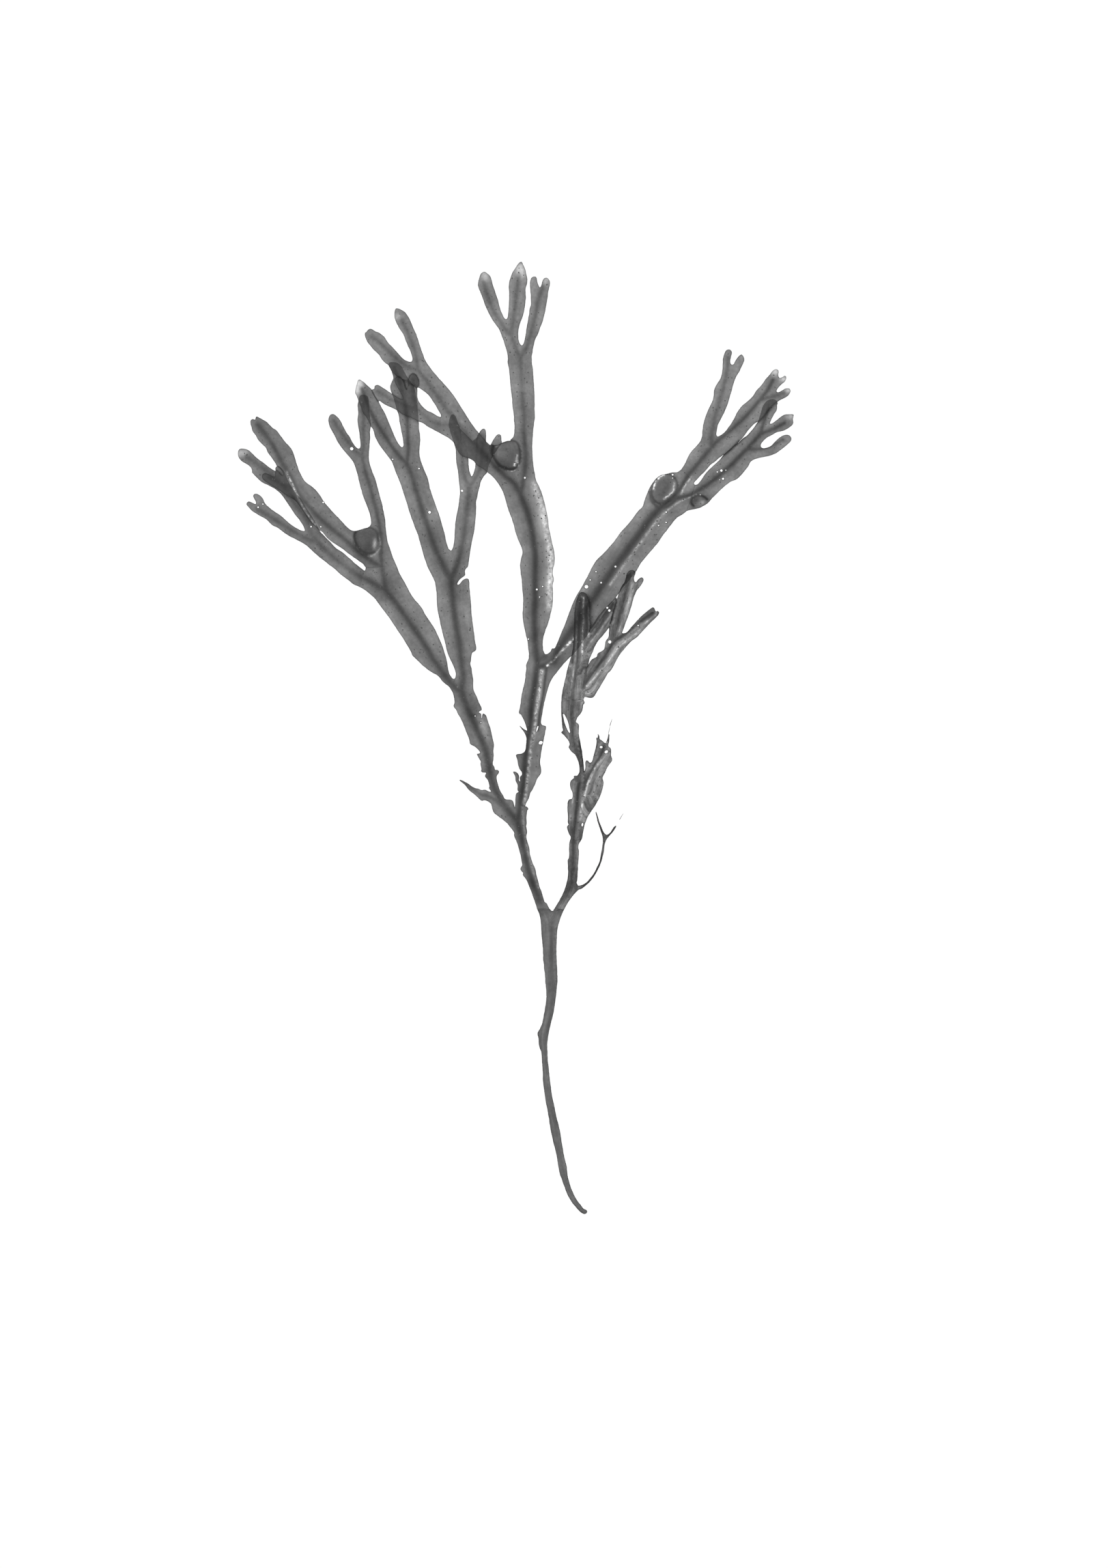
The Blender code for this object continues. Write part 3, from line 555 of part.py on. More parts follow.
RIGHT_BRANCH_LEVELS = [
    (11.2, 22.4, 0.85), (24.5, 43.0, 0.85), (34.0, 57.0, 0.85), (38.5, 63.5, 1.2), (41.0, 68.0, 2.2),
    (43.3, 72.6, 2.5), (46.5, 76.0, 2.1), (50.4, 76.6, 1.7), (52.2, 74.2, 1.6), (51.2, 70.1, 1.6),
    (50.0, 66.4, 1.5), (47.0, 66.0, 1.6),
]
RIGHT_UPPER_ARM_LEVELS = [
    (50.4, 76.6, 1.7), (52.2, 74.8, 1.65), (48.6, 78.3, 1.75), (55.0, 82.0, 1.8), (57.0, 86.0, 1.9),
    (58.0, 95.0, 1.5), (61.5, 106.0, 1.0), (62.0, 112.0, 0.85), (66.0, 111.0, 0.85), (63.0, 87.5, 1.95),
    (68.0, 93.5, 2.0), (73.5, 98.0, 2.0), (74.5, 103.0, 1.6), (76.0, 107.0, 1.2), (79.0, 101.2, 1.8),
]
RIGHT_LOWER_ARM_LEVELS = [
    (52.2, 73.8, 1.6), (51.2, 70.1, 1.6), (50.0, 66.4, 1.5), (53.5, 69.3, 1.5), (55.0, 72.0, 1.15),
    (58.5, 76.0, 0.85), (66.0, 83.0, 0.85), (73.0, 91.0, 0.8), (75.0, 97.5, 0.75), (79.5, 93.0, 0.8),
    (79.0, 87.5, 0.8),
]
OLD_STEM_LEVELS = [
    (12.7, -50.3, 0.9), (17.0, -30.0, 0.85), (19.0, -12.0, 0.85), (16.5, 3.0, 0.85), (16.6, 11.0, 0.9),
]
OLD_LEFT_STRAP_LEVELS = [
    (13.5, 11.0, 0.9), (16.6, 11.0, 0.9), (19.8, 11.1, 0.95), (20.1, 12.5, 1.1), (14.6, 17.0, 1.4),
    (17.4, 16.5, 1.5), (20.6, 16.4, 1.7), (21.0, 20.7, 2.3), (15.8, 21.0, 2.2), (18.6, 22.5, 2.4),
    (19.3, 28.0, 2.6), (19.6, 40.0, 2.6), (25.5, 34.0, 2.6), (29.0, 40.0, 2.6),
]
OLD_RIGHT_STRAP_LEVELS = [
    (20.1, 12.5, 1.1), (20.6, 16.4, 1.7), (21.0, 20.7, 2.3), (24.5, 16.0, 1.9), (24.3, 21.5, 2.9),
    (27.5, 27.0, 3.5), (28.4, 32.0, 3.7), (30.0, 39.0, 3.6), (34.5, 29.5, 3.3), (41.0, 36.8, 2.9),
    (34.0, 48.0, 2.9),
]
THREAD_LEVELS = [
    (18.3, -44.0, 0.85), (24.0, -38.0, 0.5), (27.0, -26.0, 0.3),
]

# Bladders: middle, half length, half width, direction of the long way in degrees, half thickness.
LEFT_BLADDERS = [((-43.5, 57.2), 4.15, 4.0, 90.0, 2.7)]
CENTRE_BLADDERS = [((-2.8, 82.4), 4.4, 4.2, 90.0, 2.6)]
RIGHT_BLADDERS = [((43.3, 72.6), 4.75, 3.5, 63.0, 2.5)]
SMALL_BLADDERS = [((53.5, 69.3), 2.4, 1.5, 15.0, 1.3)]


def clear_scene():
    for item in list(bpy.data.objects):
        bpy.data.objects.remove(item, do_unlink=True)


def surface_material(name, grey, roughness):
    material = bpy.data.materials.new(name)
    material.use_nodes = True
    shader = material.node_tree.nodes["Principled BSDF"]
    shader.inputs["Base Color"].default_value = (grey, grey, grey, 1.0)
    shader.inputs["Roughness"].default_value = roughness
    return material


def signed_area(points):
    total = 0.0
    for index, (x, y) in enumerate(points):
        next_x, next_y = points[(index + 1) % len(points)]
        total += x * next_y - next_x * y
    return total / 2.0


def cut_at(first, second):
    for one, other in CUTS:
        if (one, other) == (first, second) or (one, other) == (second, first):
            return True
    return False


def trimmed_outline(edge):
    """The outline turned anticlockwise, drawn back half a gap at each cut, with the cuts subdivided."""
    points = list(edge)
    if signed_area(points) < 0.0:
        points.reverse()
    count = len(points)
    moved = [list(point) for point in points]
    cut_starts = []
    for index in range(count):
        first = points[index]
        second = points[(index + 1) % count]
        if not cut_at(first, second):
            continue
        along = Vector((second[0] - first[0], second[1] - first[1])).normalized()
        inward = (-along[1] * CUT_GAP / 2.0, along[0] * CUT_GAP / 2.0)
        for corner in (index, (index + 1) % count):
            moved[corner][0] += inward[0]
            moved[corner][1] += inward[1]
        cut_starts.append(index)
    outline = []
    on_cut = []
    for index in range(count):
        outline.append(tuple(moved[index]))
        on_cut.append(False)
        if index in cut_starts:
            start = moved[index]
            end = moved[(index + 1) % count]
            if math.dist(start, end) < 2.0:
                continue
            for share in (0.3, 0.5, 0.7):
                x = start[0] + (end[0] - start[0]) * share
                y = start[1] + (end[1] - start[1]) * share
                outline.append((x, y))
                on_cut.append(True)
    return outline, on_cut


def distance_to_line(points, line):
    """Distance from each point to a polyline, and how far along the line the nearest place is, 0 to 1."""
    points = np.asarray(points, dtype=float)
    line = np.asarray(line, dtype=float)
    lengths = np.linalg.norm(line[1:] - line[:-1], axis=1)
    total = lengths.sum()
    best = np.full(len(points), 1e9)
    share = np.zeros(len(points))
    passed = 0.0
    for index, length in enumerate(lengths):
        start = line[index]
        step = line[index + 1] - start
        place = np.clip(((points - start) @ step) / (length * length), 0.0, 1.0)
        near = start + place[:, None] * step
        gap = np.linalg.norm(points - near, axis=1)
        closer = gap < best
        best[closer] = gap[closer]
        share[closer] = (passed + place[closer] * length) / total
        passed += length
    return best, share


def inside(points, outline):
    points = np.asarray(points, dtype=float)
    result = np.zeros(len(points), dtype=bool)
    x = points[:, 0]
    y = points[:, 1]
    for index, (x0, y0) in enumerate(outline):
        x1, y1 = outline[(index + 1) % len(outline)]
        if y0 == y1:
            continue
        crosses = (y0 > y) != (y1 > y)
        at = x0 + (y - y0) * (x1 - x0) / (y1 - y0)
        result ^= crosses & (x < at)
    return result


def bladder_radius(points, bladder):
    """Distance from a bladder's middle as a share of its outline: 1 is on the outline."""
    (x, y), half_long, half_wide, degrees, _ = bladder
    turn = math.radians(degrees)
    local_x = points[:, 0] - x
    local_y = points[:, 1] - y
    along = (local_x * math.cos(turn) + local_y * math.sin(turn)) / half_long
    across = (-local_x * math.sin(turn) + local_y * math.cos(turn)) / half_wide
    return np.hypot(along, across)


def bladder_rings(bladder):
    (x, y), half_long, half_wide, degrees, _ = bladder
    turn = math.radians(degrees)
    points = [(x, y)]
    for share, count in ((0.45, 8), (0.78, 12), (0.96, 16)):
        for step in range(count):
            angle = 2.0 * math.pi * (step + 0.5) / count
            along = half_long * share * math.cos(angle)
            across = half_wide * share * math.sin(angle)
            points.append((x + along * math.cos(turn) - across * math.sin(turn),
                           y + along * math.sin(turn) + across * math.cos(turn)))
    return points


def rib_rows(ribs):
    """Places on the midribs and on the shoulders beside them."""
    rows = []
    for _, _, line in ribs:
        for index in range(len(line) - 1):
            start = Vector(line[index])
            end = Vector(line[index + 1])
            length = (end - start).length
            side = Vector((-(end - start).y, (end - start).x)).normalized() * SHOULDER
            steps = max(1, round(length / RIB_STEP))
            for step in range(steps):
                place = start.lerp(end, step / steps)
                rows.append(tuple(place))
                rows.append(tuple(place + side))
                rows.append(tuple(place - side))
        rows.append(tuple(line[-1]))
    return rows


def spaced(points, outline, taken, room, margin):
    """Keeps the points that lie well inside the outline and not too close to one another."""
    kept = list(taken)
    closed = list(outline) + [outline[0]]
    to_edge, _ = distance_to_line(points, closed)
    within = inside(points, outline)
    for point, gap, ok in zip(points, to_edge, within):
        if not ok or gap < margin:
            continue
        if all(math.dist(point, other) > room for other in kept):
            kept.append(point)
    return kept


def blade_level(points, levels):
    if not levels:
        return np.full(len(points), BLADE_LEVEL)
    given = np.asarray(levels, dtype=float)
    gaps = ((points[:, None, :] - given[None, :, :2]) ** 2).sum(axis=2)
    weights = 1.0 / (gaps + 4.0) ** 2
    return (weights * given[None, :, 2]).sum(axis=1) / weights.sum(axis=1)


def half_thickness(points, ribs, bladders):
    half = np.full(len(points), BLADE_HALF)
    for start, end, line in ribs:
        gap, share = distance_to_line(points, line)
        height = start + (end - start) * share
        half = np.maximum(half, BLADE_HALF + (height - BLADE_HALF) * np.exp(-(gap / RIB_SPREAD) ** 2))
    for bladder in bladders:
        radius = np.clip(bladder_radius(points, bladder), 0.0, 1.0)
        half = np.maximum(half, bladder[4] * np.sqrt(1.0 - radius ** 2))
    return half


def build_solid(name, top, bottom, triangles, rim_count, material):
    """A closed shell: the upper skin, the lower skin and the wall between them round the outline."""
    count = len(top)
    vertices = [Vector(point) * MM for point in np.vstack([top, bottom])]
    faces = []
    for one, two, three in triangles:
        faces.append((one, two, three))
        faces.append((three + count, two + count, one + count))
    for index in range(rim_count):
        following = (index + 1) % rim_count
        faces.append((index, index + count, following + count))
        faces.append((index, following + count, following))
    mesh = bpy.data.meshes.new(name)
    mesh.from_pydata(vertices, [], faces)
    mesh.update()
    mesh.materials.append(material)
    mesh.shade_smooth()
    mesh.set_sharp_from_angle(angle=math.radians(50.0))
    piece = bpy.data.objects.new(name, mesh)
    bpy.context.scene.collection.objects.link(piece)
    return piece


def blade_piece(name, edge, ribs, levels, bladders, material):
    outline, on_cut = trimmed_outline(edge)
    rim_count = len(outline)
    rings = []
    for bladder in bladders:
        rings += bladder_rings(bladder)
    inner = spaced(rings, outline, [], 0.3, 0.3) if rings else []
    rows = rib_rows(ribs)
    if bladders and rows:
        flat = np.asarray(rows)
        clear = np.ones(len(flat), dtype=bool)
        for bladder in bladders:
            clear &= bladder_radius(flat, bladder) > 1.15
        rows = [row for row, keep in zip(rows, clear) if keep]
    if rows:
        inner = spaced(rows, outline, inner, 1.0, 0.45)
    flat_points = [Vector(point) for point in outline + inner]
    placed, _, triangles, _, _, _ = delaunay_2d_cdt(
        flat_points, [], [list(range(rim_count))], 1, 1e-5)
    if len(placed) != len(flat_points):
        raise RuntimeError(f"the outline of {name} crosses itself")
    points = np.asarray([tuple(point) for point in placed])
    level = blade_level(points, levels)
    half = half_thickness(points, ribs, bladders)
    for index in range(rim_count):
        if not on_cut[index]:
            half[index] = MARGIN_HALF
    top = np.column_stack([points, level + half])
    bottom = np.column_stack([points, np.maximum(level - half, 0.0)])
    return build_solid(name, top, bottom, triangles, rim_count, material)


def stem(material):
    """The stipe: oval in section, with a level strip along its underside that lies on the ground."""
    outline, on_cut = trimmed_outline(STEM_EDGE)
    rim_count = len(outline)
    closed = outline + [outline[0]]
    spine = [place for _, _, line in STEM_RIBS[:STRAIGHT_RIBS] for place in line]
    spine = [place for index, place in enumerate(spine) if index == 0 or place != spine[index - 1]]
    left = []
    right = []
    for index in range(1, len(spine)):
        before = Vector(spine[index - 1])
        after = Vector(spine[min(index + 1, len(spine) - 1)])
        across = Vector((-(after - before).y, (after - before).x)).normalized()
        room, _ = distance_to_line([spine[index]], closed)
        offset = across * min(0.9, room[0] * 0.55)
        left.append(tuple(Vector(spine[index]) + offset))
        right.append(tuple(Vector(spine[index]) - offset))
    rails = []
    for index in range(len(left) - 1):
        rails.append((rim_count + index, rim_count + index + 1))
        rails.append((rim_count + len(left) + index, rim_count + len(left) + index + 1))
    forked = rib_rows(STEM_RIBS[STRAIGHT_RIBS:])
    inner = spaced(forked, outline, left + right, 0.8, 0.45)
    flat_points = [Vector(point) for point in outline + inner]
    placed, _, triangles, _, _, _ = delaunay_2d_cdt(
        flat_points, rails, [list(range(rim_count))], 1, 1e-5)
    if len(placed) != len(flat_points):
        raise RuntimeError("the outline of the stem crosses itself")
    points = np.asarray([tuple(point) for point in placed])
    nearest = np.full(len(points), 1e9)
    height = np.zeros(len(points))
    for start, end, line in STEM_RIBS:
        gap, share = distance_to_line(points, line)
        closer = gap < nearest
        nearest[closer] = gap[closer]
        height[closer] = (start + (end - start) * share)[closer]
    half = height.copy()
    thin = MARGIN_HALF + 0.35 * height * np.exp(-np.maximum(nearest - 1.2, 0.0) ** 2)
    for index in range(rim_count):
        if not on_cut[index]:
            half[index] = thin[index]
    top = np.column_stack([points, height + half])
    bottom = np.column_stack([points, np.maximum(height - half, 0.0)])
    return build_solid("stem", top, bottom, triangles, rim_count, material)


def middle_stem(material):
    return blade_piece("middle_stem", MIDDLE_STEM_EDGE, MIDDLE_STEM_RIBS, [], [], material)


def left_stem(material):
    return blade_piece("left_stem", LEFT_STEM_EDGE, LEFT_STEM_RIBS, [], [], material)


def left_branch(material):
    return blade_piece("left_branch", LEFT_BRANCH_EDGE, LEFT_BRANCH_RIBS, [], [], material)


def left_lower_arm(material):
    return blade_piece("left_lower_arm", LEFT_LOWER_ARM_EDGE, LEFT_LOWER_ARM_RIBS, [], [], material)


def left_upper_arm(material):
    return blade_piece("left_upper_arm", LEFT_UPPER_ARM_EDGE, LEFT_UPPER_ARM_RIBS, LEFT_UPPER_ARM_LEVELS,
                       LEFT_BLADDERS, material)


def inner_left_branch(material):
    return blade_piece("inner_left_branch", INNER_LEFT_BRANCH_EDGE, INNER_LEFT_BRANCH_RIBS, [], [],
                       material)


def inner_left_arm(material):
    return blade_piece("inner_left_arm", INNER_LEFT_ARM_EDGE, INNER_LEFT_ARM_RIBS, INNER_LEFT_ARM_LEVELS,
                       [], material)


def inner_right_arm(material):
    return blade_piece("inner_right_arm", INNER_RIGHT_ARM_EDGE, INNER_RIGHT_ARM_RIBS,
                       INNER_RIGHT_ARM_LEVELS, [], material)


def centre_stem(material):
    return blade_piece("centre_stem", CENTRE_STEM_EDGE, CENTRE_STEM_RIBS, [], [], material)


def centre_branch(material):
    return blade_piece("centre_branch", CENTRE_BRANCH_EDGE, CENTRE_BRANCH_RIBS, CENTRE_BRANCH_LEVELS,
                       CENTRE_BLADDERS, material)


def centre_top_arm(material):
    return blade_piece("centre_top_arm", CENTRE_TOP_ARM_EDGE, CENTRE_TOP_ARM_RIBS, CENTRE_TOP_ARM_LEVELS,
                       [], material)


def centre_left_arm(material):
    return blade_piece("centre_left_arm", CENTRE_LEFT_ARM_EDGE, CENTRE_LEFT_ARM_RIBS,
                       CENTRE_LEFT_ARM_LEVELS, [], material)


def centre_side_arm(material):
    return blade_piece("centre_side_arm", CENTRE_SIDE_ARM_EDGE, CENTRE_SIDE_ARM_RIBS,
                       CENTRE_SIDE_ARM_LEVELS, [], material)


def right_branch(material):
    return blade_piece("right_branch", RIGHT_BRANCH_EDGE, RIGHT_BRANCH_RIBS, RIGHT_BRANCH_LEVELS,
                       RIGHT_BLADDERS, material)


def right_upper_arm(material):
    return blade_piece("right_upper_arm", RIGHT_UPPER_ARM_EDGE, RIGHT_UPPER_ARM_RIBS,
                       RIGHT_UPPER_ARM_LEVELS, [], material)


def right_lower_arm(material):
    return blade_piece("right_lower_arm", RIGHT_LOWER_ARM_EDGE, RIGHT_LOWER_ARM_RIBS,
                       RIGHT_LOWER_ARM_LEVELS, SMALL_BLADDERS, material)


def old_stem(material):
    return blade_piece("old_stem", OLD_STEM_EDGE, OLD_STEM_RIBS, OLD_STEM_LEVELS, [], material)


def old_left_strap(material):
    return blade_piece("old_left_strap", OLD_LEFT_STRAP_EDGE, OLD_LEFT_STRAP_RIBS,
                       OLD_LEFT_STRAP_LEVELS, [], material)


def old_right_strap(material):
    return blade_piece("old_right_strap", OLD_RIGHT_STRAP_EDGE, OLD_RIGHT_STRAP_RIBS,
                       OLD_RIGHT_STRAP_LEVELS, [], material)


def side_thread(material):
    return blade_piece("side_thread", SIDE_THREAD_EDGE, [], THREAD_LEVELS, [], material)


def build():
    clear_scene()
    stipe = surface_material("stipe", 0.10, 0.55)
    blade = surface_material("blade", 0.21, 0.5)
    worn = surface_material("worn_blade", 0.19, 0.65)
    stem(stipe)
    middle_stem(blade)
    left_stem(blade)
    left_branch(blade)
    left_lower_arm(blade)
    left_upper_arm(blade)
    inner_left_branch(blade)
    inner_left_arm(blade)
    inner_right_arm(blade)
    centre_stem(blade)
    centre_branch(blade)
    centre_top_arm(blade)
    centre_left_arm(blade)
    centre_side_arm(blade)
    right_branch(blade)
    right_upper_arm(blade)
    right_lower_arm(blade)
    old_stem(worn)
    old_left_strap(worn)
    old_right_strap(worn)
    side_thread(worn)


build()
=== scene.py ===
"""Looks of a pressed bladder wrack frond: thin ribbed straps, air bladders and a worn old branch."""

import json
import math

import bpy
import numpy as np
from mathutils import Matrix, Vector, noise
from mathutils.bvhtree import BVHTree
from mathutils.geometry import delaunay_2d_cdt

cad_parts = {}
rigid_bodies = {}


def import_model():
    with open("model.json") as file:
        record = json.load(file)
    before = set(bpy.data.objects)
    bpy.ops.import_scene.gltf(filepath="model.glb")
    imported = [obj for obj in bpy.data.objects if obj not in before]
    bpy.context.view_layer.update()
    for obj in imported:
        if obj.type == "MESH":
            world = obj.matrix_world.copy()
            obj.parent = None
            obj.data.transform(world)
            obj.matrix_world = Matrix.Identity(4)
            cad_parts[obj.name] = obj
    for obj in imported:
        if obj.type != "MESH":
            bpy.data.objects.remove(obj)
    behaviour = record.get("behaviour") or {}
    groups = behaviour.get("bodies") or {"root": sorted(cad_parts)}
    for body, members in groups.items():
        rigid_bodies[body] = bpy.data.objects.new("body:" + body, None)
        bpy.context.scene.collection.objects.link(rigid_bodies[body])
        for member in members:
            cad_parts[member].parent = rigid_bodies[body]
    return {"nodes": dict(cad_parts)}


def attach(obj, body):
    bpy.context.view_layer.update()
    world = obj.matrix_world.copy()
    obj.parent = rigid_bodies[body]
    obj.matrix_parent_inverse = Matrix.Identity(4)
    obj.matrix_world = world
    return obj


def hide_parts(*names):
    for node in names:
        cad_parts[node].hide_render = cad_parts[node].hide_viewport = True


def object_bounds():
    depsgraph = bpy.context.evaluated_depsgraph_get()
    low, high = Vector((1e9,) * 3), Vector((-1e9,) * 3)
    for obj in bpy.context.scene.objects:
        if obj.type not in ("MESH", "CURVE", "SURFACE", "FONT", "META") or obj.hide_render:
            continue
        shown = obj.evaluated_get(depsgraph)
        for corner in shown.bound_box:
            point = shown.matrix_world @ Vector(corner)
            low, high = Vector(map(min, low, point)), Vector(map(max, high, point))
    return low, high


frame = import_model()
CAD_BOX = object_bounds()

bl_info = {
    "name": "Pressed bladder wrack",
    "version": (1, 0, 0),
    "blender": (4, 5, 0),
    "location": "View3D > Sidebar > Wrack",
    "description": "Builds the frond's detailed pieces and the light table they lie on",
    "category": "Object",
}

MM = 0.001

# The blades: lengths in millimetres, shares and counts as numbers.
CUT_REACH = 0.4  # corners this close across a cut belong together
EDGE_STEP = 0.45
EDGE_ROUGH = 0.07
EDGE_SPREAD = 0.12  # the outlines are this much wider, as the bright table eats into them
GRID_STEP = 0.56
LINE_STEP = 1.0  # for measuring how far away a rib is
NET_LINE_STEP = 0.5  # between the net's corners along a rib
LINE_ROOM = 0.12  # ribs and other lines stay this far inside the edge
EDGE_REACH = 2.0  # how far the net looks for an edge
RIM_HALF = 0.06
RIM_WIDTH = 0.9  # over this width the rim thickens to the full blade
MARGIN_LIMIT = 4.0  # distances from the rim are measured up to here
LEVEL_ROUNDS = 10  # of evening out the blade's level
THICKNESS_ROUNDS = 4
EVEN_SHARE = 0.6  # of a corner's neighbours in each round
RIPPLE = 0.05
RIPPLE_RATE = 0.28  # for each millimetre
RAY_HEIGHT = 20.0  # well clear of the frond, above or below
HOLE_CORNERS = 14
SHARP_DEGREES = 50  # edges sharper than this aren't smoothed

# Threads, flecks and specks: lengths in millimetres, shares and counts as numbers.
THREAD_STEP = 0.4
THREAD_LEVEL = 0.5
THREAD_TAPER = 0.7  # of the width is gone at the thread's end
FLECK_HALF = 0.23
FLECK_LIFT = 0.01
FLECK_ROOM = 0.25  # from the rim
FLECK_SEED = 11
FLECK_COUNT = 170000  # for each square metre
PIN_SIZE = 1.3  # times the half widths in the list
PIN_RING = 0.12

# How light passes: strengths in stops, each of which halves it, and widths in millimetres.
# Each strap lying underneath is painted into the colour as shade, this many stops.
OVERLAP_SHADE_STOPS = 1.45  # darker for each strap underneath
RIB_DEPTH = 1.15  # times the strengths in the lists
LINE_BLEND = 0.9  # lines this close together share their strength
SHOULDER_FALL = 0.1  # of the core's fall, so the shoulder is about three times as wide
PALE_SHOULDER = 0.15
UNDER_SHOULDER = 0.2
MARGIN_BAND = 0.2  # the blade's dark margin is finer, and drawn as coarse as it needs to show
CLOUD_SIZE = 7.0
CELL_SIZE = 0.9  # real cells are far finer, and drawn as coarse as they need to show
GRAIN_SIZE = 0.5
WRINKLE_DEPTH = 0.15
PALE_GRAIN_RISE = 4.8  # how sharply the grains of the pale lines stand out
PALE_GRAIN_START = -1.35
BRIGHTEST = 4.2  # times the blade's grey
BLADE_GREY = "#747474"
STIPE_GREY = "#5C5C5C"
WORN_GREY = "#6C6C6C"

# The photo's view of the frond, in millimetres.
PHOTO_CENTRE = (11.2, -13.6)
PHOTO_HEIGHT = 459.2
CAMERA_HEIGHT = 1500.0

# The table, the lights and the camera, in metres and watts.
TABLE_HALF = 6.0
TABLE_DROP = 0.0003
ROOM_STRENGTH = 0.75
LAMP_SIZE = 1.2
LAMP_ENERGY = 30.0
LAMP_PLACE = (-0.9, 0.5, 1.6)
VIEW_END = 20.0

# Pieces that meet at a cut.
JOINED = [
    ("stem", "middle_stem"), ("stem", "old_stem"), ("middle_stem", "left_stem"),
    ("middle_stem", "centre_stem"), ("left_stem", "left_branch"), ("left_stem", "inner_left_branch"),
    ("left_branch", "left_lower_arm"), ("left_branch", "left_upper_arm"),
    ("inner_left_branch", "inner_left_arm"), ("inner_left_branch", "inner_right_arm"),
    ("centre_stem", "centre_branch"), ("centre_stem", "right_branch"),
    ("centre_branch", "centre_left_arm"), ("centre_branch", "centre_top_arm"),
    ("centre_left_arm", "centre_side_arm"), ("right_branch", "right_upper_arm"),
    ("right_branch", "right_lower_arm"), ("old_stem", "old_left_strap"),
    ("old_left_strap", "old_right_strap"), ("old_stem", "side_thread"),
]

# Pieces that another piece lies on, which are painted onto it as a darker patch of shade, where they
# would show through.
UNDERLAY_SHADE = {
    "left_upper_arm": ["left_lower_arm"],
    "centre_branch": ["inner_right_arm"],
    "centre_left_arm": ["inner_right_arm", "inner_left_arm", "centre_side_arm"],
    "centre_side_arm": ["inner_left_arm"],
    "inner_left_arm": ["left_upper_arm"],
    "right_upper_arm": ["right_lower_arm"],
    "old_left_strap": ["right_branch"],
    "old_right_strap": ["right_branch", "old_left_strap"],
}

# Where crumpled tips hidden under a strap darken it too, painted on as shade at a share of a whole
# strap's.
HALF_SHADES = {
    "centre_left_arm": [
        [(-15.9, 83.0), (-13.9, 81.4), (-12.3, 80.4), (-11.4, 79.6), (-10.9, 83.0), (-11.4, 87.6),
         (-12.6, 86.6), (-14.0, 88.0), (-16.0, 90.0)],
    ],
}
HALF_SHADE = 0.85

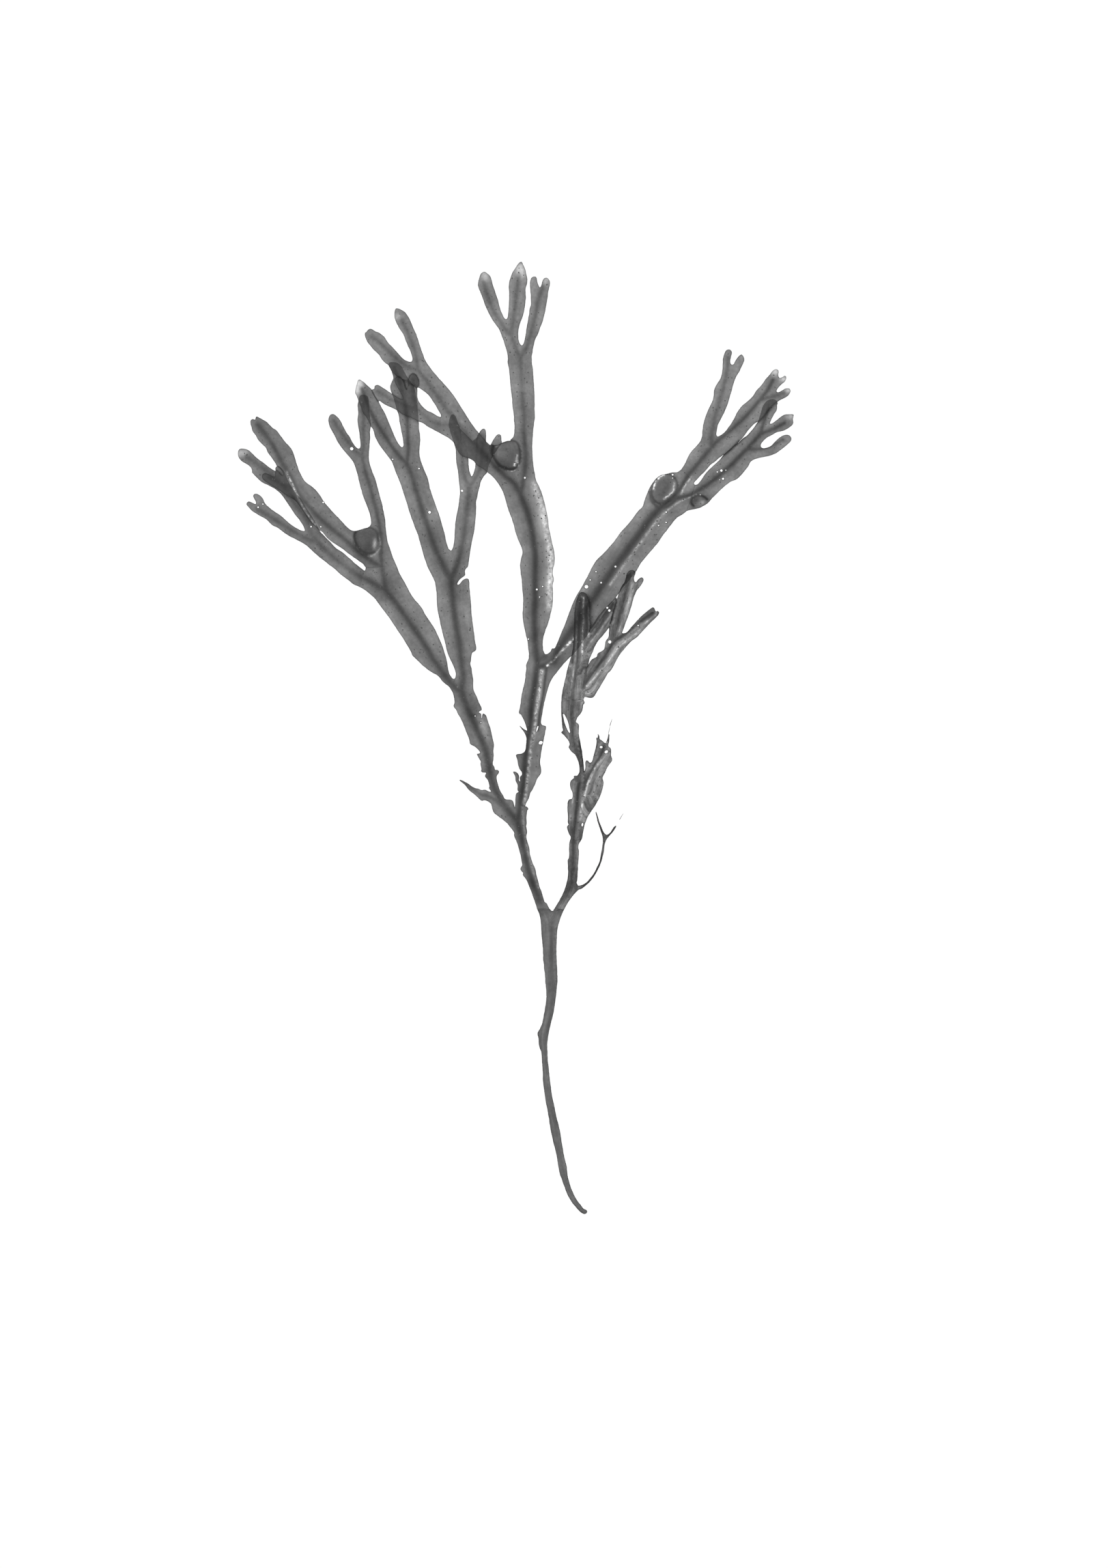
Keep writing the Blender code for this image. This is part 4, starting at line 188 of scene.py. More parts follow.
# Midribs in millimetres: how much darker than the blade, in stops, the width of the dark band, its line.
RIBS = {
    "stem": [
        (0.2, 1.4, [(20.2, -138.6), (18.4, -137.3), (16.3, -133.8), (14.7, -130.2), (13.8, -126.5),
            (12.8, -121.5), (12, -116.5), (11, -111.5), (10.1, -107.5), (9.3, -103), (8.9, -99),
            (8.6, -95), (8.3, -91), (8, -88), (8.7, -84.5), (9.7, -80.5), (10.2, -77), (10.5, -73),
            (10.4, -68.5), (10, -63.5), (9.9, -59), (9.9, -55.5), (9.6, -53), (8, -50.1)]),
        (0.4, 1, [(10.6, -54.5), (11.8, -52.5), (12.65, -50.35)]),
    ],
    "middle_stem": [
        (0.5, 0.94, [(8.4, -51), (8, -50.1), (6.6, -47)]),
        (1.38, 0.94, [(6.6, -47), (4.4, -41), (2.6, -34), (1.6, -29), (0.6, -25), (-0.6, -23)]),
        (1.25, 0.85, [(-0.6, -23), (-2.8, -20.6), (-4.6, -18.2), (-5.65, -16.35)]),
        (1.25, 0.85, [(0.6, -25), (1, -22), (1.3, -19.6)]),
        (0.62, 0.59, [(-3, -20.5), (-7.6, -17.4), (-10.5, -16.5), (-14, -14)]),
    ],
    "left_stem": [
        (1.2, 0.94, [(-5.65, -16.35), (-6.9, -13), (-8, -8), (-9, -3.5), (-10.8, 1), (-12.8, 5.5),
            (-14.6, 9.5), (-15.9, 13.5)]),
        (1.08, 0.85, [(-15.9, 13.5), (-17.6, 14.8), (-19.15, 16.2)]),
        (1.08, 0.94, [(-15.9, 13.5), (-15.6, 16), (-15.25, 18.1)]),
    ],
    "left_branch": [
        (1.2, 0.94, [(-19.15, 16.2), (-21.4, 19), (-24.2, 23), (-27.2, 28), (-30.6, 33), (-34.6, 38.6),
            (-38.1, 43.2)]),
        (1.08, 0.8, [(-38.1, 43.2), (-41.5, 45), (-44.95, 46.8)]),
        (0.84, 0.8, [(-38.1, 43.2), (-38.7, 46.5), (-39.2, 50)]),
    ],
    "left_lower_arm": [
        (0.65, 0.79, [(-44.95, 46.8), (-49, 49.4), (-54, 53.2), (-58, 57.2)]),
        (0.65, 0.72, [(-58, 57.2), (-62, 58.6), (-66, 60.9), (-71, 64), (-75.5, 66.8)]),
        (0.43, 0.79, [(-58, 57.2), (-60.3, 60.5), (-62, 65), (-64.5, 69), (-68, 73.5), (-73, 78),
            (-79, 82.3)]),
    ],
    "left_upper_arm": [
        (1, 0.75, [(-39.2, 50), (-41.6, 51.2), (-43.8, 52.8), (-45.9, 54.2), (-47.9, 56), (-50, 58),
            (-54.2, 61.3), (-58.8, 65.6), (-62.7, 70), (-65.8, 76), (-68.4, 80.4), (-70.4, 84.2),
            (-72.8, 88), (-75.5, 91.5)]),
        (0.4, 0.65, [(-64.5, 73), (-68.5, 74), (-72.2, 76)]),
        (0.8, 0.6, [(-39.2, 50), (-39.4, 54), (-39.3, 58), (-40.1, 63), (-41.2, 68), (-42.6, 73),
            (-44.2, 78.5), (-44.9, 82)]),
        (0.6, 0.7, [(-44.9, 82), (-47.5, 84.4), (-50.5, 88.4), (-53.2, 92.6)]),
        (0.6, 0.6, [(-44.9, 82), (-44.6, 86), (-44.6, 92), (-44.7, 97.5)]),
    ],
    "inner_left_branch": [
        (1.17, 0.94, [(-15.25, 18.1), (-16, 22), (-16.6, 27), (-17.4, 32), (-18.2, 38), (-18.9, 44),
            (-19, 46.5)]),
        (1.3, 0.94, [(-19, 46.5), (-20.8, 49.5), (-23, 53.9)]),
        (1.3, 0.87, [(-19, 46.5), (-17.6, 49.5), (-16.1, 54.15)]),
    ],
    "inner_left_arm": [
        (1.01, 0.85, [(-23, 53.9), (-25.6, 61), (-28.5, 70), (-30.6, 77), (-31.9, 80)]),
        (1.01, 0.59, [(-31.9, 80), (-35.8, 84.5), (-39.2, 89.6), (-42.3, 95), (-45, 102)]),
        (1.01, 0.59, [(-31.9, 80), (-31.5, 84), (-31.7, 90), (-32, 95), (-33, 100), (-34.2, 104.5),
            (-35.6, 108)]),
    ],
    "inner_right_arm": [
        (0.72, 0.86, [(-16.1, 54.15), (-15.1, 60), (-14.2, 68), (-13.6, 73.5)]),
        (0.5, 0.58, [(-13.6, 73.5), (-15.2, 77), (-15.8, 82), (-17.6, 89)]),
        (0.5, 0.58, [(-13.6, 73.5), (-11.8, 76), (-10.2, 80), (-9.6, 86)]),
    ],
    "centre_stem": [
        (1.8, 0.85, [(1.3, -19.6), (2.2, -14), (2.7, -8), (3.2, -2), (4.3, 4), (4.7, 10), (5.6, 16),
            (6.2, 20.5)]),
        (1.35, 0.92, [(6.5, 20.5), (6, 25)]),
        (1.35, 0.92, [(6.5, 20.5), (8.6, 21), (11.2, 22.45)]),
    ],
    "centre_branch": [
        (1.5, 0.94, [(6, 25), (5.5, 32), (5.6, 40), (5.6, 48), (5.6, 54), (4.8, 60), (3.4, 66), (1.4, 71),
            (-0.2, 74.2)]),
        (0.9, 0.72, [(1.4, 71), (2.6, 77.5), (3, 83), (2.3, 89)]),
        (1.2, 0.72, [(-0.2, 74.2), (-3.5, 76.8), (-6.5, 79.6), (-8.05, 81.6)]),
    ],
    "centre_top_arm": [
        (0.7, 0.7, [(2.3, 89), (2.4, 94), (1.9, 100)]),
        (0.5, 0.7, [(1.9, 100), (1.6, 105), (1.4, 108), (1.3, 111)]),
        (0.65, 0.65, [(1.3, 111), (0, 114), (-1.2, 117.5)]),
        (0.58, 0.65, [(-1.2, 117.5), (-3.8, 120.5), (-6.5, 125), (-8.5, 130), (-9.3, 133.5)]),
        (0.58, 0.65, [(-1.2, 117.5), (-0.9, 121), (-0.1, 127), (0.5, 132), (1, 135.5)]),
        (0.65, 0.65, [(1.3, 111), (2.8, 113.5), (4.3, 118), (5.7, 123), (6.6, 128), (8, 132)]),
    ],
    "centre_left_arm": [
        (0.65, 0.79, [(-8.05, 81.6), (-11, 84.6), (-14.5, 88.6), (-19, 94.3), (-23, 99.9), (-26.6, 104.8),
            (-28.6, 107.5)]),
        (0.58, 0.65, [(-28.6, 107.5), (-29.3, 112), (-31, 117), (-33.4, 122.2)]),
        (0.58, 0.72, [(-28.6, 107.5), (-32.5, 108.8), (-36, 111.8), (-39.2, 115), (-42, 117.2)]),
        (0.36, 0.65, [(-17.5, 91.8), (-20, 91.4), (-22, 91.3)]),
    ],
    "centre_side_arm": [
        (0.43, 0.65, [(-22, 91.3), (-25.5, 92.9), (-29, 96)]),
        (0.43, 0.58, [(-29, 96), (-32.5, 97.2), (-37, 99.2), (-40.5, 101.2)]),
        (0.36, 0.58, [(-29, 96), (-30, 100), (-30, 104.5)]),
    ],
    "right_branch": [
        (1.6, 1.1, [(11.2, 22.45), (13, 26.6), (16, 30.8), (18.8, 34.8), (21.4, 38.8), (24.6, 43.6),
            (28.3, 49), (32.3, 54.4), (36.3, 59.8), (39.9, 64.6), (43.6, 68.2)]),
        (1.3, 0.7, [(43.6, 68.2), (47.4, 71.8), (50.4, 76.6)]),
        (1.2, 0.7, [(43.6, 68.2), (46.6, 69.8), (51.2, 70.9)]),
    ],
    "right_upper_arm": [
        (1.1, 0.7, [(50.4, 76.6), (54.7, 81.8), (58.2, 86)]),
        (0.6, 0.7, [(57.2, 84.8), (57.3, 88.5), (57.9, 92), (59.2, 97), (60.7, 102), (61.8, 107),
            (62.1, 111.2)]),
        (1.1, 0.6, [(58.2, 86), (61.7, 88.9), (66.7, 93.3), (70.9, 98.1), (73.4, 101.2), (75.3, 104.6)]),
        (0.7, 0.6, [(71.5, 98.8), (75.5, 99.8), (78.5, 100.9)]),
    ],
    "right_lower_arm": [
        (1.3, 0.65, [(51.2, 70.9), (54.2, 72.8), (58.2, 75.6), (62.4, 79.2), (65.6, 82.4), (68.2, 85),
            (71.6, 88.8)]),
        (1.2, 0.6, [(71.6, 88.8), (75.2, 90.2), (78.6, 92)]),
        (1, 0.5, [(71.6, 88.8), (72.5, 92), (74.1, 96.4)]),
        (0.8, 0.6, [(67.6, 84.4), (71, 84.4), (74.4, 85.2), (78.2, 87.2)]),
    ],
    "old_stem": [
        (0.3, 0.8, [(12.65, -50.35), (14.2, -47.5)]),
        (0.9, 0.8, [(14.2, -47.5), (15.8, -44), (16.4, -40), (16.7, -35), (16.9, -30)]),
        (1.6, 0.55, [(16.9, -30), (17.2, -26), (17.7, -21), (18.2, -16), (18.6, -13)]),
        (1.3, 0.45, [(20, -15.2), (20.7, -12.6), (21.6, -10.6), (23, -8.2), (24.6, -5.6), (25.9, -2.6)]),
        (1.4, 0.35, [(19.9, -10), (19.6, -7), (19.1, -4), (18.6, -1)]),
        (0.7, 0.7, [(18.6, -13), (18.9, -10), (18.4, -6), (17, -2), (16.6, 4), (16.7, 11.05)]),
        (1.2, 0.35, [(20, -18.6), (20.6, -20.2), (21.3, -21.4)]),
    ],
    "old_left_strap": [
        (0.8, 0.7, [(16.7, 11.05), (17, 15), (17.6, 20), (18.2, 26), (18.5, 31), (18.6, 36),
            (18.8, 40.2)]),
        (0.6, 0.6, [(20.6, 27), (20.7, 32), (20.7, 38)]),
        (0.9, 0.7, [(20.8, 27.6), (22.9, 30), (25.7, 34.4), (28.3, 38.8)]),
    ],
    "old_right_strap": [
        (1.4, 0.5, [(20.4, 15.8), (23, 19.6), (25.8, 23.4), (28.6, 27.8), (32, 30.2), (36, 33.6),
            (40, 36.5)]),
        (1, 0.7, [(28.6, 27.8), (29.2, 31), (30.4, 36), (32, 42), (33.5, 47.3)]),
    ],
    "side_thread": [],
}

# Pale lines beside the ribs and along folded edges, and painted highlights on and around the bladders, as
# the midribs above but lighter than the blade.
PALE_LINES_AND_HIGHLIGHTS = {
    "right_branch": [
        (2.2, 0.4, [(9.2, 21), (10.4, 22), (12.2, 23.9), (14.4, 26.3), (17, 28.9)]),
        (0.9, 0.45, [(27.5, 44.6), (31.5, 50.2), (35.5, 55.6), (39, 60.4), (42, 64.2), (43.8, 65.9)]),
        (1.9, 0.45, [(40.3, 72.6), (40.7, 74.4), (41.8, 75.9), (43.3, 76.7)]),
        (1.9, 0.36, [(43.3, 69.7), (45.1, 70.9), (46.1, 72.3)]),
        (1, 0.3, [(46.1, 72.3), (46.3, 74.4)]),
        (1, 0.3, [(43.8, 65.9), (47.2, 68.5), (50.3, 70), (52.5, 70.9), (54, 71.1)]),
        (0.9, 0.35, [(48.4, 71.3), (49.3, 73.4), (51.4, 76.3)]),
        (0.7, 0.5, [(31, 40), (36, 45.5), (40.5, 51.5), (44.5, 57), (48, 62)]),
    ],
    "centre_stem": [
        (1.25, 0.6, [(2.4, -19.5), (3.3, -13), (3.8, -8), (4.4, -3), (5.4, 2), (5.8, 7), (6.7, 12),
            (7.3, 17), (7.6, 19.8)]),
    ],
    "middle_stem": [
        (0.7, 0.45, [(6.6, -44), (4.4, -37), (3, -31), (2.2, -24), (1.8, -20)]),
    ],
    "centre_branch": [
        (0.8, 1.1, [(9.9, 38), (9.8, 42), (10, 47), (10.2, 51), (9.8, 56), (9, 61), (8, 66), (6.6, 70.5),
            (5.4, 74)]),
        (1.7, 0.32, [(-0.5, 79.5), (0.15, 80.7), (0.45, 82.4)]),
        (1.2, 0.22, [(-2.3, 77.9), (-0.9, 77.8), (0.1, 78.3), (0.8, 79.4), (1.2, 80.7)]),
        (1.5, 0.3, [(-5.9, 84.8), (-5.3, 85.5)]),
    ],
    "left_upper_arm": [
        (0.6, 0.6, [(-46, 50.5), (-52, 55), (-57.5, 60.5)]),
        (1.5, 0.35, [(-58.3, 61.8), (-60.2, 64.2), (-61.9, 66.9), (-64.2, 71.5), (-66.9, 77.7)]),
        (1, 0.4, [(-39.8, 58.5), (-39.6, 56.2), (-40.4, 54.2), (-41.8, 53.3), (-43, 53)]),
    ],
    "old_stem": [
        (1.3, 0.4, [(18.8, -24), (19.3, -20.5), (20.1, -17.4), (20.6, -15), (21.6, -12.2), (23, -9.2),
            (24.9, -6.4)]),
        (0.6, 0.5, [(16, -24), (16.2, -20.5), (17, -17)]),
        (0.5, 0.4, [(17.2, 3), (17.1, -1)]),
    ],
    "old_left_strap": [
        (1.5, 0.35, [(19.4, 25), (19.6, 29), (19.7, 33), (19.7, 37), (19.8, 41)]),
        (0.8, 0.35, [(15.8, 12), (16.6, 17), (17.4, 23), (17.7, 29), (17.9, 35)]),
        (0.9, 0.35, [(21.2, 38), (21.6, 34), (21.2, 30)]),
        (0.8, 0.35, [(22, 28), (25, 31.8), (28, 36.5)]),
    ],
    "old_right_strap": [
        (0.9, 0.35, [(20.8, 15), (24, 18.6), (27.2, 22.6), (30.2, 26.4), (34.5, 29.8), (38.6, 34)]),
        (0.7, 0.35, [(30.2, 31), (32.2, 36.8), (34.4, 43)]),
    ],
    "stem": [
        (0.5, 1, [(17.4, -134.4), (15.7, -129), (14, -121.5), (12.9, -114.5), (11.5, -107.5), (10, -101),
            (9.5, -95.5), (9.4, -90.5), (10, -86.5), (11.2, -81), (11.9, -74.5), (11.9, -68), (11.8, -62),
            (11.8, -57), (13, -52.6)]),
    ],
}

# Soft patches: how much darker (below zero: lighter), in stops, half length, half width, turn, place. The
# lighter spots on the bladders are painted highlights.
PATCHES_AND_GLINTS = [
    (-2.2, 3.2, 1.7, 75, (-46.3, 102.4)), (-1.4, 2.4, 1.4, 90, (1.5, 136.6)),
    (-1.4, 2.2, 1.2, 20, (-80.5, 83)), (-1.2, 2, 1, 90, (-9, 135)), (-1.2, 2, 1.2, 90, (9, 134)),
    (-1.3, 1.6, 1.2, 60, (76, 107)), (-1.2, 1.6, 1, 20, (78.6, 105)), (-1.2, 1.6, 1, 0, (80, 101.5)),
    (-1.2, 1.6, 1, 10, (80.5, 94)), (-0.8, 1.6, 1, 0, (-34.6, 123)), (-2.3, 1.7, 0.6, 85, (-41.2, 56.6)),
    (1.35, 3.8, 3.3, 90, (-43.9, 57.4)), (0.3, 44, 40, 0, (-62, 78)), (0.2, 36, 26, 0, (2, -8)),
    (0.8, 4.1, 3.6, 90, (-3, 82.4)), (0.95, 3.5, 2.5, 63, (42.9, 73.2)), (-0.4, 2, 0.9, 60, (45.4, 71.6)),
    (1.6, 1.2, 0.9, 15, (52.4, 69.4)), (-1, 1, 0.6, 20, (54.7, 68.8)), (1.1, 14, 7, 60, (26, -32)),
    (-0.5, 2.5, 1.6, 45, (50.8, 73.6)), (-0.5, 2.6, 1.6, 45, (22, 14.4)), (-0.4, 4.5, 2, 60, (24, -13)),
    (0.1, 7, 1.6, 80, (19, 33)), (-0.5, 6, 2, 80, (8, 63)), (-0.5, 5, 1.2, 90, (10.4, 46)),
    (-0.5, 1.6, 1.2, 0, (2.9, 55.4)), (0.5, 0.5, 0.5, 0, (2.8, 100.7)), (0.35, 5, 3, 70, (-17.5, 45)),
    (0.35, 5, 3, 40, (-38, 43)), (0.4, 4, 3, 45, (14, 24)), (0.35, 6, 3, 60, (-24, 58)),
    (-0.5, 1.4, 0.9, 0, (20.2, 43.2)), (-0.9, 4.5, 1.2, -68, (-9.7, 3.2)), (0.5, 4, 2, 60, (-12, 8)),
    (0.5, 4.6, 2.6, 112, (6, -45.4)), (0.45, 4.6, 2.4, 68, (14.9, -45.4)),
    (-0.45, 3.4, 2.4, 0, (10.3, -52.6)), (0.9, 1.3, 0.9, 40, (8.4, 23.4)), (0.4, 7, 3, 85, (16, 5)),
    (-0.4, 5, 1.5, 85, (20.5, -24)),
]

# Dark edges of bladders, folds and cracks, as the midribs above. Some are painted shade: the bladders'
# rims are dark all round and drawn darkest on their left side as painted shade, and the band on the left
# lower arm is painted where it runs under the upper one.
DARK_EDGES_AND_SHADE = {
    "centre_stem": [
        (0.9, 0.35, [(9.2, 21), (8.6, 17), (8, 12), (7, 7), (6.6, 2)]),
    ],
    "left_lower_arm": [
        (1.1, 0.8, [(-67.7, 73.1), (-65.2, 69.2), (-62.2, 65.4), (-59.6, 62.8)]),
    ],
    "left_upper_arm": [
        (0.6, 0.5, [(-65.4, 70.6), (-62.6, 66.4), (-60.2, 63.4)]),
        (1.7, 0.4, [(-46.4, 60.6), (-47.1, 59.4), (-47, 57.6), (-46.4, 56.3)]),
        (0.7, 0.35, [(-46.4, 56.3), (-45.7, 55.3), (-44.5, 54.2), (-42.8, 53.8), (-41.2, 54.2)]),
        (0.8, 0.3, [(-40.2, 57.4), (-40.4, 59.2), (-41.2, 60.6), (-42.4, 61.3), (-44, 61.1)]),
    ],
    "centre_branch": [
        (2, 0.5, [(-6.5, 85.1), (-7, 84), (-6.7, 82.3), (-5.7, 80.6), (-4.5, 79.3), (-3, 78.6),
            (-1.2, 78.3), (0.2, 78.9)]),
        (1.1, 0.3, [(0.2, 78.9), (1, 80.2), (1.3, 82.2), (1.1, 84.4), (0.4, 86.1), (-0.6, 86.7),
            (-2.2, 86.6), (-4.2, 86.1)]),
    ],
    "right_branch": [
        (1.1, 0.35, [(45.8, 76.6), (44.2, 77.2), (42.2, 76.6), (40.4, 74.6), (39.7, 72), (40.2, 69.8),
            (41.8, 68.4), (43.8, 68.2)]),
        (0.8, 0.3, [(43.8, 68.2), (45.8, 69.8), (47, 72.2), (47.2, 74.6), (45.8, 76.6)]),
        (0.7, 0.3, [(39.2, 71.8), (39.6, 69.2), (41.4, 67.6), (44.2, 67.4), (46.6, 69.2)]),
    ],
    "right_lower_arm": [
        (1.8, 0.35, [(56, 69.7), (54.8, 70.6), (53.2, 70.8), (51.7, 70), (51.2, 68.8), (52, 67.8)]),
    ],
    "right_upper_arm": [
        (1, 0.35, [(59.8, 80.6), (62.5, 83.6), (65.3, 86.8)]),
    ],
    "old_left_strap": [
        (1.6, 0.35, [(21.9, 30.8), (25.4, 35.4), (28.4, 39.4)]),
        (1.4, 0.45, [(16.7, 16.9), (18, 18.4), (19, 18.8), (19.6, 20.4), (20.8, 20.4)]),
        (1, 0.6, [(20.6, 19.6), (20.2, 17), (19.8, 14.6)]),
        (1, 0.5, [(17, 36), (17.2, 30), (17, 26), (16.6, 22)]),
    ],
    "old_right_strap": [
        (1.6, 0.35, [(28, 34.4), (28.4, 38), (29.2, 41.2), (31, 44), (32.8, 47.4)]),
    ],
}

# Holes torn through the blade: half length, half width, turn in degrees, place.
HOLES = {
    "left_stem": [(0.2, 0.14, 0, (-11.9, 6.3)), (0.18, 0.12, 70, (-10.2, 4.4))],
    "centre_stem": [(0.6, 0.5, 30, (7.3, -1.5)), (0.9, 0.2, 75, (6.3, 2.6))],
    "old_stem": [
        (0.4, 0.35, 0, (25.0, -2.8)), (0.5, 0.42, 40, (26.5, -4.2)), (0.5, 0.25, 80, (19.5, -25.5)),
        (2.9, 0.5, -72, (14.9, 4.1)),
    ],
}

# Pin specks in the blade, painted light where light shows through pinholes, each in a ring of painted
# shade: half width and place.
PIN_SPECKS = [
    (0.4, (-48, 84.5)), (0.22, (-56.3, 68.7)), (0.2, (-57, 61.6)), (0.22, (-59.9, 61.7)),
    (0.2, (-74, 68.3)), (0.22, (-75.4, 67.4)), (0.34, (-25.2, 65.9)), (0.25, (2.7, 75.9)),
    (0.3, (-15.7, 72.2)), (0.22, (-28.3, 78.7)), (0.2, (-36, 81.4)), (0.22, (44, 65.9)), (0.14, (54, 71)),
    (0.2, (44, 62.9)), (0.2, (41.8, 62)), (0.45, (20.7, 44.1)), (0.24, (29.2, 50)), (0.22, (25, 45.3)),
    (0.24, (6.2, 43.3)), (0.2, (7.9, 44.2)), (0.2, (3.7, 28.8)), (0.12, (-17, 14.8)), (0.4, (27.5, 27.9)),
    (0.25, (26.8, 37.9)), (0.3, (27.4, 37.1)), (0.2, (35.8, 32.7)), (0.12, (59.9, 80)),
    (0.3, (60.2, 78.1)), (0.15, (61.5, 78.2)), (0.2, (59, 77.7)), (0.12, (57.1, 75.6)),
    (0.15, (59.7, 75.4)), (0.28, (60.7, 75.7)), (0.24, (45.9, 76.8)), (0.16, (45.9, 75.8)),
    (0.2, (21.8, 46.1)), (0.2, (23.5, 48.5)), (0.18, (7, 41.1)),
]

# Hair-thin loose threads: half width in millimetres and their lines.
FILAMENTS = [
    (0.11, [(26.2, -2.2), (26.8, -0.8), (27.1, 0.4), (27.2, 1.4)]),
    (0.06, [(27.2, 1.4), (27.4, 2.4), (27.6, 3.5)]),
    (0.09, [(27.6, 3.5), (27.9, 4.5), (28.2, 5.4)]),
    (0.09, [(23.5, -21.8), (23.7, -22.8), (24, -23.8), (24.3, -24.8)]),
    (0.08, [(30.4, -24), (31, -23), (31.5, -22.2)]),
    (0.1, [(1.2, 3.4), (1.9, 2.4), (2.9, 1.3)]),
    (0.1, [(24.1, 1), (24.2, 0), (24.2, -1.2)]),
]


def plan_outline(name):
    """The outline of a frame node seen from above, in millimetres, in order."""
    mesh = frame["nodes"][name].data
    flat = np.empty(len(mesh.vertices) * 3)
    mesh.vertices.foreach_get("co", flat)
    places = np.round(flat.reshape(-1, 3) / MM, 3)
    neighbours = {}
    for polygon in mesh.polygons:
        corners = list(dict.fromkeys(tuple(places[index][:2]) for index in polygon.vertices))
        if len(corners) == 2:
            neighbours.setdefault(corners[0], set()).add(corners[1])
            neighbours.setdefault(corners[1], set()).add(corners[0])
    start = min(neighbours)
    loop = [start]
    previous = None
    current = start
    while True:
        choices = [corner for corner in neighbours[current] if corner != previous]
        previous, current = current, choices[0]
        if current == start:
            break
        loop.append(current)
        if len(loop) > len(neighbours):
            raise RuntimeError("the outline of " + name + " doesn't close")
    points = np.asarray(loop)
    ahead = np.roll(points, -1, axis=0)
    area = np.sum(points[:, 0] * ahead[:, 1] - points[:, 1] * ahead[:, 0])
    return points if area > 0 else points[::-1].copy()


def close_cuts(outlines):
    """Moves the ends of each cut to the middle of its gap, and says which corners are on a cut."""
    on_cut = {name: np.zeros(len(points), bool) for name, points in outlines.items()}
    for first, second in JOINED:
        one = outlines[first]
        two = outlines[second]
        gaps = np.linalg.norm(one[:, None] - two[None], axis=2)
        for index in range(len(one)):
            match = int(np.argmin(gaps[index]))
            if gaps[index, match] < CUT_REACH and int(np.argmin(gaps[:, match])) == index:
                middle = (one[index] + two[match]) / 2
                one[index] = middle
                two[match] = middle
                on_cut[first][index] = True
                on_cut[second][match] = True
    return on_cut


def smooth_run(points, step, rough):
    """A smooth line through the points at even steps, its inner points roughened a little."""
    points = np.asarray(points, float)
    padded = np.vstack([2 * points[0] - points[1], points, 2 * points[-1] - points[-2]])
    fine = []
    for index in range(1, len(padded) - 2):
        a, b, c, d = padded[index - 1:index + 3]
        share = np.linspace(0, 1, 9)[:-1, None]
        fine.append(0.5 * (2 * b + (c - a) * share + (2 * a - 5 * b + 4 * c - d) * share ** 2
                           + (3 * b - a - 3 * c + d) * share ** 3))
    fine = np.vstack(fine + [points[-1:]])
    length = np.concatenate([[0], np.cumsum(np.linalg.norm(np.diff(fine, axis=0), axis=1))])
    count = max(1, round(length[-1] / step))
    marks = np.linspace(0, length[-1], count + 1)
    even = np.column_stack([np.interp(marks, length, fine[:, axis]) for axis in (0, 1)])
    if rough:
        for index in range(1, count):
            spot = Vector((even[index, 0], even[index, 1], 3.1))
            even[index, 0] += rough * (noise.noise(spot * 0.9) + 0.6 * noise.noise(spot * 2.3))
            even[index, 1] += rough * (noise.noise(spot * 0.9 + Vector((50, 0, 0))))
    return even


def fine_outline(points, cut):
    """The outline at fine steps, and which of its corners lie on a cut."""
    count = len(points)
    start = next(index for index in range(count) if cut[index] and not cut[(index + 1) % count])
    order = [(start + shift) % count for shift in range(count + 1)]
    line = []
    fixed = []
    run = [order[0]]
    for index in order[1:]:
        run.append(index)
        if not cut[index]:
            continue
        if len(run) == 2:
            steps = max(1, round(float(np.linalg.norm(points[run[0]] - points[run[1]])) / EDGE_STEP))
            share = np.linspace(0, 1, steps + 1)[:-1, None]
            part = points[run[0]] * (1 - share) + points[run[1]] * share
            fixed += [True] * len(part)
        else:
            part = smooth_run(points[run], EDGE_STEP, EDGE_ROUGH)[:-1]
            fixed += [True] + [False] * (len(part) - 1)
        line.append(part)
        run = [index]
    loop = np.vstack(line)
    fixed = np.asarray(fixed)
    step = np.roll(loop, -1, axis=0) - loop
    outward = np.column_stack([step[:, 1], -step[:, 0]])
    outward /= np.linalg.norm(outward, axis=1)[:, None]
    outward[fixed & np.roll(fixed, -1)] = 0
    spread = outward + np.roll(outward, 1, axis=0)
    spread /= np.maximum(np.linalg.norm(spread, axis=1), 1e-9)[:, None]
    return loop + EDGE_SPREAD * spread, fixed


def inside(points, outline):
    """Which points lie inside the outline."""
    crossed = np.zeros(len(points), bool)
    for start, end in zip(outline, np.roll(outline, -1, axis=0)):
        spans = (start[1] > points[:, 1]) != (end[1] > points[:, 1])
        rise = end[1] - start[1] if end[1] != start[1] else 1e-9
        reach = start[0] + (end[0] - start[0]) * (points[:, 1] - start[1]) / rise
        crossed ^= spans & (points[:, 0] < reach)
    return crossed


def line_field(points, lines):
    """For each point: distance over band width, strength, and place across and along its line."""
    nearest = np.full(len(points), 9.0)
    strength = np.zeros(len(points))
    weight = np.full(len(points), 1e-12)
    weave = np.zeros((len(points), 2))
    closest = np.full(len(points), 1e9)
    for stops, width, line in lines:
        fine = smooth_run(line, LINE_STEP, 0)
        own = np.full(len(points), 1e9)
        walked = 0.0
        for start, end in zip(fine[:-1], fine[1:]):
            step = end - start
            length = float(np.hypot(*step)) or 1e-9
            offset = points - start
            share = np.clip((offset @ step) / length ** 2, 0, 1)
            gap = np.linalg.norm(offset - share[:, None] * step, axis=1)
            side = np.sign(offset[:, 0] * step[1] - offset[:, 1] * step[0])
            nearest = np.minimum(nearest, gap / width)
            own = np.minimum(own, gap)
            near = gap < closest
            closest[near] = gap[near]
            weave[near, 0] = (gap * side)[near]
            weave[near, 1] = walked + share[near] * length
            walked += length
        share = np.exp(-own / LINE_BLEND)
        strength += stops * share
        weight += share
    return nearest, strength / weight, weave


